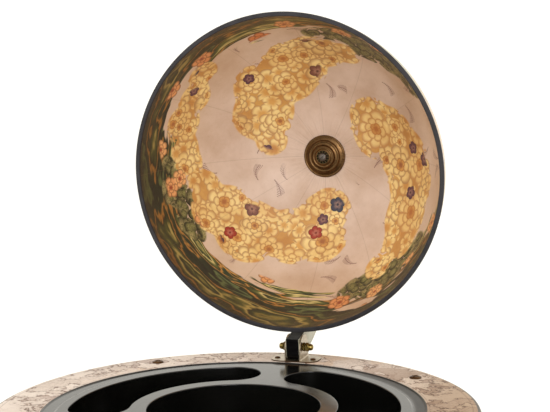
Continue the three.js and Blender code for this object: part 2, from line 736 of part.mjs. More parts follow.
// Legs: turned posts between the ring and the shelf, each held by a bolt from above
function addLegs(group) {
  const lowerHoleEnd = hangerBoltRise + fitGap;
  const upperHoleEnd = legLength - legBoltGrip - fitGap;
  const profile = [
    [0, lowerHoleEnd],
    [hangerBoltRadius + fitGap, lowerHoleEnd],
    [hangerBoltRadius + fitGap, 0],
    ...legRadiusShares.map((share, i) => [legRadius * share, legLength * legHeightShares[i]]),
    [legBoltRadius + fitGap, legLength],
    [legBoltRadius + fitGap, upperHoleEnd],
    [0, upperHoleEnd],
  ];
  legAngles.forEach((angle, i) => {
    const place = onLegCircle(angle);
    piece(group, `leg_${i + 1}`, turned(profile, turnedSides), darkWood()).position.set(...place, shelfLip);
    const bolt = screw(legBoltHeadRadius, legBoltHeadHeight, legBoltRadius,
      ringThickness + legBoltGrip, legBoltSlotWidth, legBoltSlotDepth, true);
    piece(group, `leg_bolt_${i + 1}`, bolt, brass()).position.set(...place, ringTop);
  });
}

// Shelf: a round board whose middle lies lower than the band that carries the legs
function addShelf(group) {
  const lipRadius = legCircleRadius - legRadius - shelfMargin;
  const profile = [
    [0, -shelfThickness],
    [shelfRadius - shelfEdgeStep, -shelfThickness],
    [shelfRadius - shelfEdgeStep, -shelfThickness + shelfEdgeStep],
    [shelfRadius, -shelfThickness + shelfEdgeStep],
    ...arcPoints(shelfRadius - shelfEdgeRound, shelfLip - shelfEdgeRound, shelfEdgeRound,
      0, Math.PI / 2, edgeSteps),
    [lipRadius, shelfLip],
    [lipRadius, 0],
    [0, 0],
  ];
  const hole = rod(hangerBoltRadius + fitGap, -shelfThickness - cutOverrun, shelfLip + cutOverrun);
  const shelf = cutFrom(solidOf(turned(profile, ringSides)), ...atLegs(hole));
  piece(group, "lower_shelf", geometryOf(shelf), darkWood());
}

// Feet under the shelf, each with a hanger bolt up into the leg and a caster socket
function addFeet(group) {
  const top = -shelfThickness;
  const bottom = top - footHeight;
  const stemHole = socketRadius + fitGap;
  const boltHole = hangerBoltRadius + fitGap;
  const foot = [
    [0, top - hangerBoltDrop - fitGap],
    [boltHole, top - hangerBoltDrop - fitGap],
    [boltHole, top],
    ...footRadiusShares.map((share, i) => [footRadius * share, top - footHeight * footHeightShares[i]]),
    [stemHole, bottom],
    [stemHole, bottom + casterStemLength],
    [0, bottom + casterStemLength],
  ];
  const socketTop = bottom + casterStemLength - fitGap;
  const flangeLow = bottom - socketFlangeThickness;
  const socket = [
    [socketBore, flangeLow],
    [socketRadius + socketFlangeWidth, flangeLow],
    [socketRadius + socketFlangeWidth, bottom],
    [socketRadius, bottom],
    [socketRadius, socketTop],
    [socketBore, socketTop],
  ];
  legAngles.forEach((angle, i) => {
    const place = [...onLegCircle(angle), 0];
    piece(group, `foot_${i + 1}`, turned(foot, turnedSides), darkWood()).position.set(...place);
    const hanger = rod(hangerBoltRadius, top - hangerBoltDrop, shelfLip + hangerBoltRise);
    piece(group, `hanger_bolt_${i + 1}`, hanger, steel()).position.set(...place);
    const sleeve = turned([...socket, socket[0]], smallSides);
    piece(group, `caster_socket_${i + 1}`, sleeve, brass()).position.set(...place);
  });
}

// Casters: a fork on a stem, trailing behind it, with a wheel on an axle
function addCasters(group) {
  const crownTop = -shelfThickness - footHeight - socketFlangeThickness - fitGap;
  const crownBottom = crownTop - forkCrownThickness;
  const axleHeight = crownBottom - forkCrownGap - wheelRadius;
  const armInner = wheelWidth / 2 + fitGap;
  const armOuter = armInner + forkWall;
  const stem = rod(casterStemRadius, crownBottom, crownTop + casterStemLength - fitGap);
  const half = axleRadius + forkArmWall;
  const crown = block(-armOuter, armOuter, -half, casterTrail + half, crownBottom, crownTop);
  const armOutline = [
    ...arcPoints(casterTrail, axleHeight, half, Math.PI, 2 * Math.PI, cornerSteps),
    [casterTrail + half, crownTop],
    [-half, crownTop],
    [-half, crownBottom - forkCrownGap],
  ];
  const arms = [[-armOuter, -armInner], [armInner, armOuter]].map(
    (sides) => solidOf(sidePlate(armOutline, ...sides)));
  const acrossWheel = (geometry) => geometry.rotateY(Math.PI / 2).translate(0, casterTrail, axleHeight);
  const axleHole = solidOf(acrossWheel(
    rod(axleRadius + runningGap, -armOuter - cutOverrun, armOuter + cutOverrun)));
  const fork = geometryOf(cutFrom(joined(solidOf(stem), solidOf(crown), ...arms), axleHole));

  const headStart = armOuter + fitGap;
  const headEnd = headStart + axleHeadThickness;
  const axleHeadRadius = axleRadius + axleHeadLip;
  const mirrored = (half) => [...half.map(([radius, height]) => [radius, -height]), ...half.toReversed()];
  const axle = acrossWheel(turned(mirrored([
    [0, headEnd],
    [axleHeadRadius, headEnd],
    [axleHeadRadius, headStart],
    [axleRadius, headStart],
  ]), smallSides));
  const wheelFace = wheelWidth / 2;
  const wheelBore = boreRadius(axleRadius, wheelSides);
  const hubRadius = wheelBore + wheelHubWall;
  const wheelOutline = mirrored([
    [wheelBore, wheelFace],
    [hubRadius, wheelFace],
    [hubRadius + wheelDish, wheelFace - wheelDish],
    [wheelRadius - wheelEdgeRound, wheelFace - wheelDish / 2],
    [wheelRadius, wheelFace - wheelEdgeRound],
  ]);
  const wheel = acrossWheel(turned([...wheelOutline, wheelOutline[0]], wheelSides));
  legAngles.forEach((angle, i) => {
    const place = [...onLegCircle(angle), 0];
    piece(group, `caster_fork_${i + 1}`, fork.clone(), brass()).position.set(...place);
    piece(group, `caster_axle_${i + 1}`, axle.clone(), steel()).position.set(...place);
    piece(group, `caster_wheel_${i + 1}`, wheel.clone(), wheelPlastic()).position.set(...place);
  });
}

const globeBar = new THREE.Group();
addHorizonRing(globeBar);
addBottleTray(globeBar);
addLowerGlobe(globeBar);
addHingeBracket(globeBar);
addHingeBolt(globeBar);
addBracketScrews(globeBar);
addLegs(globeBar);
addShelf(globeBar);
addFeet(globeBar);
addCasters(globeBar);
addLid(globeBar);

export default globeBar;
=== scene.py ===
# Looks of the floor globe bar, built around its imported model.
# Metres, +Z up; the globe's upright axis is x = y = 0, the lid's hinge is towards +Y,
# and z = 0 is the top of the lower shelf inside its lip.
import math

import bmesh
import bpy
import numpy as np
from mathutils import Matrix, Vector


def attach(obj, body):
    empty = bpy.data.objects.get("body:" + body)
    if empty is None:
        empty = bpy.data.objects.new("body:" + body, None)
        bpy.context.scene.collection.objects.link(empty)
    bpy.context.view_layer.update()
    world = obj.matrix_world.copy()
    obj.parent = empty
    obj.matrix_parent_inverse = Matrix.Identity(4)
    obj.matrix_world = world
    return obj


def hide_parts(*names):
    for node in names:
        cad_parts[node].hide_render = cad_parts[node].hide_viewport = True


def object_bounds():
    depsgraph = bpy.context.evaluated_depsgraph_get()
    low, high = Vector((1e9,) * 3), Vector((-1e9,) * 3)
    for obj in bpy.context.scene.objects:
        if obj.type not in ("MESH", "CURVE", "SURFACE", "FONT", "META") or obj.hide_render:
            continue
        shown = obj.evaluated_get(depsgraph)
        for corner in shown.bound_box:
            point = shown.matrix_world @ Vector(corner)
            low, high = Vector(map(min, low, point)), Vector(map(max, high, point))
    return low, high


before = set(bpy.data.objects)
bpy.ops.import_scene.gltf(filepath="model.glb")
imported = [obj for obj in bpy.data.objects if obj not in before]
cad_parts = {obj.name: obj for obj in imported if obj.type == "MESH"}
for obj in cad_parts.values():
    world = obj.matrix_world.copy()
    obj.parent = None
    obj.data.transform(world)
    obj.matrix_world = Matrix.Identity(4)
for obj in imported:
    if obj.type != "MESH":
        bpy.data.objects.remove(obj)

cad_low, cad_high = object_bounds()
mm = 0.001

# Camera, where the photograph was taken from
sensor_width = 36
camera_lens = 69.39
camera_place = Vector((0.41035, -1.06238, 0.84398))
camera_yaw, camera_pitch, camera_roll = (math.radians(a) for a in (-18.62, -4.73, -1.13))


def aim_camera():
    """Puts the camera at its place, turned by its yaw, pitch and roll."""
    forward = Vector((math.sin(camera_yaw) * math.cos(camera_pitch),
                      math.cos(camera_yaw) * math.cos(camera_pitch), math.sin(camera_pitch)))
    level = Vector((math.cos(camera_yaw), -math.sin(camera_yaw), 0))
    above = level.cross(forward)
    right = level * math.cos(camera_roll) + above * math.sin(camera_roll)
    up = above * math.cos(camera_roll) - level * math.sin(camera_roll)
    data = bpy.data.cameras.new("camera")
    data.lens, data.sensor_width = camera_lens, sensor_width
    camera = bpy.data.objects.new("camera", data)
    turn = Matrix((right, up, -forward)).transposed().to_4x4()
    camera.matrix_world = Matrix.Translation(camera_place) @ turn
    bpy.context.scene.collection.objects.link(camera)
    bpy.context.scene.camera = camera


aim_camera()

# Sizes of the real piece, the same as in its model
fit_gap = 0.3 * mm
globe_radius = 200 * mm
shell_wall = 2.4 * mm
lining_wall = 1.2 * mm
rim_band_width, rim_band_height = 4.6 * mm, 4 * mm
rim_band_bead = 1 * mm
ring_inner, ring_outer = 209 * mm, 267 * mm
ring_bottom, ring_top = 510 * mm, 532 * mm
ring_bore = 201.5 * mm
print_wall, print_inset = 0.5 * mm, 1 * mm
tray_wall = 2.2 * mm
tray_flat = 531.5 * mm
seat_floor = 530.5 * mm
seat_radius, seat_slope = 195.1 * mm, 2.3 * mm
well_lip, well_foot = 1 * mm, 8 * mm
bottle_well_radius, bottle_well_floor, bottle_well_draft = 95 * mm, 382.038 * mm, 5 * mm
glass_well_inner, glass_well_outer = 114.5 * mm, 182 * mm
glass_well_floor, glass_well_draft = 469.5 * mm, 3 * mm
glass_well_gap, side_well_span = math.radians(13.5), math.radians(112)
front_well_span = 2 * math.pi - 2 * side_well_span - 3 * glass_well_gap
side_well_place = (glass_well_gap + side_well_span) / 2
tray_turn = math.radians(0.9)
bowl_centre = 526.3 * mm
lid_rim = 530.8 * mm
pole_hole = 3.3 * mm
fitting_radius, fitting_height = 30 * mm, 10.4 * mm
hinge_back, hinge_axis = 225.4 * mm, 549.5 * mm
nut_flats, nut_bore, bolt_radius = 10 * mm, 3.2 * mm, 3 * mm
lid_open = math.radians(85)
meridian_inner, meridian_outer = 213 * mm, 241 * mm
meridian_half, meridian_over, scale_wall = 8 * mm, 20 * mm, 0.4 * mm
leg_circle, leg_count = 238 * mm, 4
leg_first = math.pi / leg_count
shelf_lip, shelf_bottom = 2 * mm, -18 * mm
leg_reach = 21 * mm
foot_height = 48 * mm
socket_flange, socket_depth = 1.6 * mm, 23.7 * mm
lining_outer = globe_radius - shell_wall - fit_gap
lining_inner = lining_outer - lining_wall
lid_place = (Matrix.Translation((0, hinge_back, hinge_axis)) @ Matrix.Rotation(-lid_open, 4, "X")
             @ Matrix.Translation((0, -hinge_back, lid_rim - hinge_axis)))


# Colours and node trees

def tone(red, green, blue):
    """A screen colour from 0 to 255 as linear light."""
    shares = [c / 255 for c in (red, green, blue)]
    return tuple(s / 12.92 if s <= 0.04045 else ((s + 0.055) / 1.055) ** 2.4 for s in shares) + (1,)


class Tree:
    """Short calls for the nodes that the finishes and the shape trees share."""

    def __init__(self, tree):
        self.tree = tree

    def node(self, kind, inputs=(), **settings):
        made = self.tree.nodes.new(kind)
        for key, value in settings.items():
            setattr(made, key, value)
        for key, value in dict(inputs).items():
            self.feed(made.inputs[key], value)
        return made

    def feed(self, socket, value):
        """Links a socket or sets its value; a colour is given from 0 to 255."""
        if isinstance(value, bpy.types.NodeSocket):
            self.tree.links.new(value, socket)
        elif value is not None:
            socket.default_value = tone(*value) if socket.type == "RGBA" else value

    def maths(self, operation, *values):
        return self.node("ShaderNodeMath", dict(enumerate(values)), operation=operation).outputs[0]

    def times(self, a, b):
        return self.maths("MULTIPLY", a, b)

    def plus(self, a, b):
        return self.maths("ADD", a, b)

    def minus(self, a, b):
        return self.maths("SUBTRACT", a, b)

    def apart(self, a, b):
        """How far two values lie from each other."""
        return self.maths("ABSOLUTE", self.minus(a, b))

    def vector(self, operation, *values):
        made = self.node("ShaderNodeVectorMath", dict(enumerate(values)), operation=operation)
        return made.outputs["Value" if operation in ("DOT_PRODUCT", "LENGTH") else "Vector"]

    def stretched(self, place, scale):
        return self.vector("MULTIPLY", place, scale)

    def parts(self, vector):
        return self.node("ShaderNodeSeparateXYZ", {0: vector}).outputs

    def joined(self, x, y, z=0.0):
        return self.node("ShaderNodeCombineXYZ", {0: x, 1: y, 2: z}).outputs[0]

    def reach(self, x, y, z=0.0):
        return self.vector("LENGTH", self.joined(x, y, z))

    def step(self, value, low, high, out_low=0.0, out_high=1.0):
        """Rises smoothly from one amount to the other as the value goes from low to high."""
        limits = {0: value, 1: low, 2: high, 3: out_low, 4: out_high}
        return self.node("ShaderNodeMapRange", limits, interpolation_type="SMOOTHSTEP").outputs[0]


class Finish(Tree):
    """A material with its shader and the patterns that feed it."""

    def __init__(self, name, roughness=0.5, metallic=0.0, coat=0.0, coat_roughness=0.1, specular=0.5):
        self.material = bpy.data.materials.new(name)
        self.material.use_nodes = True
        super().__init__(self.material.node_tree)
        self.shader = self.tree.nodes["Principled BSDF"]
        self.set({"Roughness": roughness, "Metallic": metallic, "Coat Weight": coat,
                  "Coat Roughness": coat_roughness, "Specular IOR Level": specular})

    def set(self, values):
        for name, value in values.items():
            self.feed(self.shader.inputs[name], value)

    def done(self, colour, roughness=None, normal=None):
        self.set({"Base Color": colour, "Roughness": roughness, "Normal": normal})
        return self.material

    def place(self):
        """Places on the piece, in metres."""
        return self.node("ShaderNodeTexCoord").outputs["Object"]

    def attribute(self, name, output="Fac"):
        return self.node("ShaderNodeAttribute", attribute_name=name).outputs[output]

    def noise(self, place, scale, detail=4.0, rough=0.5, warp=0.0, output="Fac"):
        made = self.node("ShaderNodeTexNoise", {"Vector": place, "Scale": scale, "Detail": detail,
                                                "Roughness": rough, "Distortion": warp})
        return made.outputs[output]

    def cells(self, place, scale, feature="F1", output="Distance"):
        made = self.node("ShaderNodeTexVoronoi", {"Vector": place, "Scale": scale}, feature=feature)
        return made.outputs[output]

    def warped(self, place, scale, amount, detail=2.0):
        """Places pushed about by soft noise, up to about an amount each way."""
        cloud = self.vector("SUBTRACT", self.noise(place, scale, detail, output="Color"), (0.5, 0.5, 0.5))
        push = self.node("ShaderNodeVectorMath", {0: cloud, "Scale": amount * 2}, operation="SCALE")
        return self.vector("ADD", place, push.outputs["Vector"])

    def mix(self, share, a, b, kind="MIX"):
        made = self.node("ShaderNodeMix", data_type="RGBA", blend_type=kind)
        for number, value in ((0, share), (6, a), (7, b)):
            self.feed(made.inputs[number], value)
        return made.outputs[2]

    def ramp(self, share, *stops, kind="LINEAR"):
        """A colour for each share, from stops of (share, red, green, blue)."""
        made = self.node("ShaderNodeValToRGB", {0: share})
        made.color_ramp.interpolation = kind
        points = made.color_ramp.elements
        points[0].position, points[1].position = stops[0][0], stops[-1][0]
        for position, *_ in stops[1:-1]:
            points.new(position)
        for point, (_, *colour) in zip(points, stops):
            point.color = tone(*colour)
        return made.outputs[0]

    def bump(self, height, strength, distance, normal=None):
        values = {"Height": height, "Strength": strength, "Distance": distance, "Normal": normal}
        return self.node("ShaderNodeBump", values).outputs[0]


# Finishes

def dark_board(name, low, high, worn_to, specular):
    """Dark painted board: the horizon ring's sides and the meridian's edges."""
    finish = Finish(name, specular=specular)
    spot = finish.place()
    grain = finish.noise(finish.stretched(spot, (40, 40, 260)), 1, 5, 0.6)
    worn = finish.step(finish.noise(spot, 90, 6, 0.7), 0.56, 0.75)
    colour = finish.mix(finish.times(worn, 0.25), finish.ramp(grain, (0.3, *low), (0.7, *high)), worn_to)
    return finish.done(colour, finish.step(grain, 0.2, 0.8, 0.32, 0.5), finish.bump(grain, 0.12, 0.0006))


def rim_finish():
    """The lid's dark rim band: satin, slightly lighter in patches."""
    finish = Finish("rim_band_dark", specular=0.22)
    spot = finish.place()
    patches = finish.noise(spot, 60, 5, 0.6)
    fine = finish.noise(spot, 900, 3, 0.6)
    colour = finish.ramp(patches, (0.3, 36, 34, 37), (0.7, 51, 49, 52))
    return finish.done(colour, finish.step(patches, 0.3, 0.7, 0.5, 0.62), finish.bump(fine, 0.1, 0.0003))


def tray_gloss():
    """Gloss black moulding with a slight orange peel, faint wiping marks and a rubbed seat."""
    finish = Finish("tray_gloss_black", specular=0.66)
    spot = finish.place()
    peel = finish.noise(spot, 160, 2, 0.5)
    wiped = finish.noise(finish.stretched(spot, (14, 34, 14)), 1, 3, 0.5)
    colour = finish.ramp(wiped, (0.35, 6, 6, 5), (0.75, 10, 10, 8))
    x, y, _ = finish.parts(spot)
    on_seat = finish.step(finish.reach(x, y), seat_radius - 2 * mm, seat_radius + 5 * mm)
    rubbed = finish.times(on_seat, finish.step(x, 0.02, 0.13, 0.0, 0.3))
    roughness = finish.plus(finish.step(wiped, 0.3, 0.75, 0.15, 0.18), rubbed)
    return finish.done(colour, roughness, finish.bump(peel, 0.05, 0.001))


def dark_wood(name, along=(30, 30, 5)):
    """Dark stained wood: grain along the piece, pores, and a satin lacquer."""
    finish = Finish(name, coat=0.45, coat_roughness=0.2)
    fibres = finish.stretched(finish.warped(finish.place(), 9, 0.012), along)
    figure = finish.noise(fibres, 3, 5, 0.6, 0.6)
    pores = finish.noise(finish.stretched(fibres, (7, 7, 2.2)), 6, 3, 0.7)
    colour = finish.ramp(figure, (0.25, 30, 17, 12), (0.5, 52, 29, 19), (0.62, 66, 37, 24), (0.8, 38, 21, 15))
    colour = finish.mix(finish.step(pores, 0.58, 0.72, 0, 0.6), colour, (18, 10, 8))
    return finish.done(colour, finish.step(figure, 0.3, 0.7, 0.34, 0.48), finish.bump(pores, 0.15, 0.0004))


def metal(name, light, dark, roughness, patina):
    """Plated metal: tone patches, a darker patina in its dull places and fine scratches."""
    finish = Finish(name, roughness=roughness, metallic=1.0)
    spot = finish.place()
    patches = finish.noise(spot, 130, 5, 0.65)
    stain = finish.step(finish.noise(spot, 420, 5, 0.7), 0.5, 0.7, 0, patina)
    marks = finish.noise(finish.stretched(spot, (900, 160, 900)), 1, 3, 0.6)
    colour = finish.mix(finish.step(patches, 0.35, 0.65), light, finish.mix(0.35, light, dark))
    scratched = finish.step(marks, 0.3, 0.7, roughness * 0.8, roughness * 1.25)
    return finish.done(finish.mix(stain, colour, dark), finish.plus(scratched, finish.times(stain, 0.25)),
                       finish.bump(marks, 0.12, 0.0002))


def wheel_finish():
    """Black moulded wheel with fine scuffs."""
    finish = Finish("wheel_black", roughness=0.55)
    scuffs = finish.noise(finish.place(), 300, 6, 0.7)
    colour = finish.ramp(scuffs, (0.35, 20, 20, 21), (0.72, 52, 51, 50))
    return finish.done(colour, finish.step(scuffs, 0.35, 0.7, 0.45, 0.7), finish.bump(scuffs, 0.2, 0.0004))


def old_chart(finish, spot, paper, land, scale, ink=1.0):
    """Colour of a generic old chart: stained paper, wandering coasts, tinted lands and hills."""
    bent = finish.warped(spot, scale * 0.9, 0.4 / scale, 3)
    field = finish.noise(bent, scale, 8, 0.57)
    coast = finish.apart(field, 0.5)
    shore = finish.step(coast, 0.014, 0.006)
    surf = finish.times(finish.step(finish.maths("PINGPONG", coast, 0.024), 0.0195, 0.0230),
                        finish.step(coast, 0.13, 0.06))
    stain = finish.noise(spot, scale * 0.35, 5, 0.6)
    base = finish.mix(finish.step(stain, 0.35, 0.68), *paper)
    tint, fill, _ = finish.parts(finish.cells(bent, scale * 0.8, output="Color"))
    shade = finish.ramp(tint, *((share, *colour) for share, colour in zip((0.0, 0.33, 0.66, 1.0), land)),
                        kind="CONSTANT")
    inside = finish.step(field, 0.5, 0.51)
    colour = finish.mix(finish.times(inside, finish.step(fill, 0.50, 0.58, 0.25, 0.9)), base, shade)
    ridges = finish.noise(finish.warped(spot, scale * 3, 0.12 / scale, 2), scale * 7, 3, 0.6)
    hills = finish.times(finish.step(finish.apart(ridges, 0.5), 0.022, 0.006), inside)
    rivers = finish.cells(finish.warped(spot, scale * 2.4, 0.25 / scale, 3), scale * 1.7, "DISTANCE_TO_EDGE")
    rivers = finish.times(finish.step(rivers, 0.02, 0.006), inside)
    for lines, strength, ink_tone in ((hills, 0.25, (124, 92, 74)), (rivers, 0.35, (124, 90, 70)),
                                      (surf, 0.42, (126, 96, 80)), (shore, 0.75, (96, 68, 54))):
        colour = finish.mix(finish.times(lines, min(1.0, strength * ink)), colour, ink_tone)
    speck = finish.noise(spot, scale * 14, 4, 0.7)
    return finish.mix(finish.step(speck, 0.6, 0.75, 0, 0.25), colour, (140, 112, 92)), speck


def ring_chart():
    """The sheet on the horizon ring, with border lines near its edges and painted shade towards +X."""
    finish = Finish("ring_chart", specular=0.2)
    spot = finish.place()
    paper = (216, 203, 193), (204, 190, 180)
    lands = (176, 157, 144), (206, 184, 166), (186, 169, 160), (214, 188, 150)
    colour, speck = old_chart(finish, spot, paper, lands, 29, 1.2)
    x, y, _ = finish.parts(spot)
    # Painted shade: the sheet grows darker and warmer towards +X.
    colour = finish.mix(finish.step(x, 0.08, 0.25), colour, (212, 196, 176), "MULTIPLY")
    reach = finish.reach(x, y)
    borders = (ring_outer - 3.6 * mm, 0.75), (ring_outer - 9 * mm, 0.4), (ring_inner + 3 * mm, 0.3)
    for line, strength in borders:
        drawn = finish.times(finish.step(finish.apart(reach, line), 0.0008, 0.0003), strength)
        colour = finish.mix(drawn, colour, (104, 82, 70))
    return finish.done(colour, finish.step(speck, 0.3, 0.7, 0.55, 0.7), finish.bump(speck, 0.08, 0.0003))


def globe_chart():
    """The globe's outside: a chart under varnish, with a net of lines."""
    finish = Finish("globe_chart", coat=0.5, coat_roughness=0.15)
    spot = finish.attribute("globe_place", "Vector")
    paper = (216, 186, 150), (196, 160, 122)
    lands = (190, 160, 110), (204, 150, 104), (168, 164, 124), (206, 176, 118)
    colour, speck = old_chart(finish, spot, paper, lands, 9)
    x, y, z = finish.parts(spot)
    lines_per_turn = 12 / math.pi
    east = finish.times(finish.maths("ARCTAN2", y, x), lines_per_turn)
    reach = finish.reach(x, y)
    north = finish.times(finish.maths("ARCTAN2", z, reach), lines_per_turn)
    widths = finish.maths("DIVIDE", 0.0011, finish.maths("MAXIMUM", reach, 0.01)), 0.006
    net = finish.maths("MAXIMUM", *(finish.maths("LESS_THAN", finish.maths("PINGPONG", turn, 0.5), width)
                                    for turn, width in zip((east, north), widths)))
    colour = finish.mix(finish.times(net, 0.5), colour, (120, 84, 58))
    return finish.done(colour, finish.step(speck, 0.3, 0.7, 0.3, 0.45), finish.bump(speck, 0.06, 0.0003))


def meridian_scale():
    """The printed sheet on the meridian's sides: a pale scale with graduation lines."""
    finish = Finish("meridian_scale", coat=0.25, coat_roughness=0.25)
    spot = finish.attribute("globe_place", "Vector")
    _, y, z = finish.parts(spot)
    reach = finish.reach(0.0, y, z)
    degrees = finish.times(finish.maths("ARCTAN2", z, y), 180 / math.pi)
    stain = finish.noise(spot, 30, 5, 0.6)
    colour = finish.mix(finish.step(stain, 0.35, 0.65), (172, 170, 150), (156, 152, 132))
    inked = 0.0
    for every, start in ((1, 234 * mm), (5, 230 * mm), (10, 225 * mm)):
        off = finish.maths("PINGPONG", finish.maths("DIVIDE", degrees, every), 0.5)
        band = finish.times(finish.maths("GREATER_THAN", reach, start),
                            finish.maths("LESS_THAN", reach, 238 * mm))
        tick = finish.times(finish.maths("LESS_THAN", off, 0.07 / every), band)
        inked = finish.maths("MAXIMUM", inked, tick)
    for line in (215.5 * mm, 217 * mm, 238 * mm, 239.2 * mm):
        inked = finish.maths("MAXIMUM", inked, finish.maths("LESS_THAN", finish.apart(reach, line), 0.2 * mm))
    inked = finish.times(inked, finish.maths("GREATER_THAN", degrees, 9.0))
    colour = finish.mix(finish.times(inked, 0.7), colour, (80, 66, 52))
    return finish.done(colour, finish.step(stain, 0.3, 0.7, 0.4, 0.55), finish.bump(stain, 0.05, 0.0003))


def flower_field(finish, spot, size, seed):
    """Blossom hearts scattered on the globe's surface: how far each place lies from the nearest
    one as a share of its reach, the turn round it, two random numbers, the place along and
    across it in metres, and whether the heart lies near the surface."""
    shift = (seed, seed * 0.7, -seed * 0.4)
    shifted = finish.vector("ADD", spot, shift)
    cell = finish.node("ShaderNodeTexVoronoi", {"Vector": shifted, "Scale": 1 / size, "Randomness": 0.85})
    chance = finish.parts(cell.outputs["Color"])
    across = finish.vector("NORMALIZE", finish.vector("CROSS_PRODUCT", (0, 0, 1), spot))
    along = finish.vector("CROSS_PRODUCT", finish.vector("NORMALIZE", spot), across)
    offset = finish.vector("SUBTRACT", shifted, cell.outputs["Position"])
    u = finish.vector("DOT_PRODUCT", offset, across)
    v = finish.vector("DOT_PRODUCT", offset, along)
    turn = finish.plus(finish.maths("ARCTAN2", v, u), finish.times(chance[0], 6.28))
    grown_to = finish.times(finish.maths("MULTIPLY_ADD", chance[1], 0.35, 0.75), size * 0.62)
    reach = finish.reach(u, v)
    heart = finish.vector("LENGTH", finish.vector("SUBTRACT", cell.outputs["Position"], shift))
    depth = finish.apart(heart, lining_inner)
    near = finish.maths("LESS_THAN", depth, size * 0.3)
    return finish.maths("DIVIDE", reach, grown_to), turn, chance[1], chance[2], u, v, near


def petals(finish, colour, share, turn, count, phase, reach, zone, tones):
    """Lays one whorl of petals over a colour: dark towards the heart, light in the middle, with a
    soft brown edge and folds between the petals."""
    angle = finish.maths("MULTIPLY_ADD", turn, count / 2, phase)
    wave = finish.maths("ABSOLUTE", finish.maths("COSINE", angle))
    edge = finish.times(finish.maths("MULTIPLY_ADD", finish.maths("POWER", wave, 0.6), 0.26, 0.74), reach)
    inside = finish.maths("DIVIDE", share, edge)
    petal = finish.mix(finish.step(inside, 0.2, 0.7), tones[0], tones[1])
    line = finish.step(inside, 0.74, 1.0, 0.0, 0.75)
    fold = finish.times(finish.step(wave, 0.55, 0.06), finish.step(inside, 0.3, 0.7, 0.0, 0.7))
    petal = finish.mix(finish.maths("MAXIMUM", line, fold), petal, tones[2])
    cover = finish.times(finish.step(inside, 1.03, 0.97), zone)
    return finish.mix(cover, colour, petal)


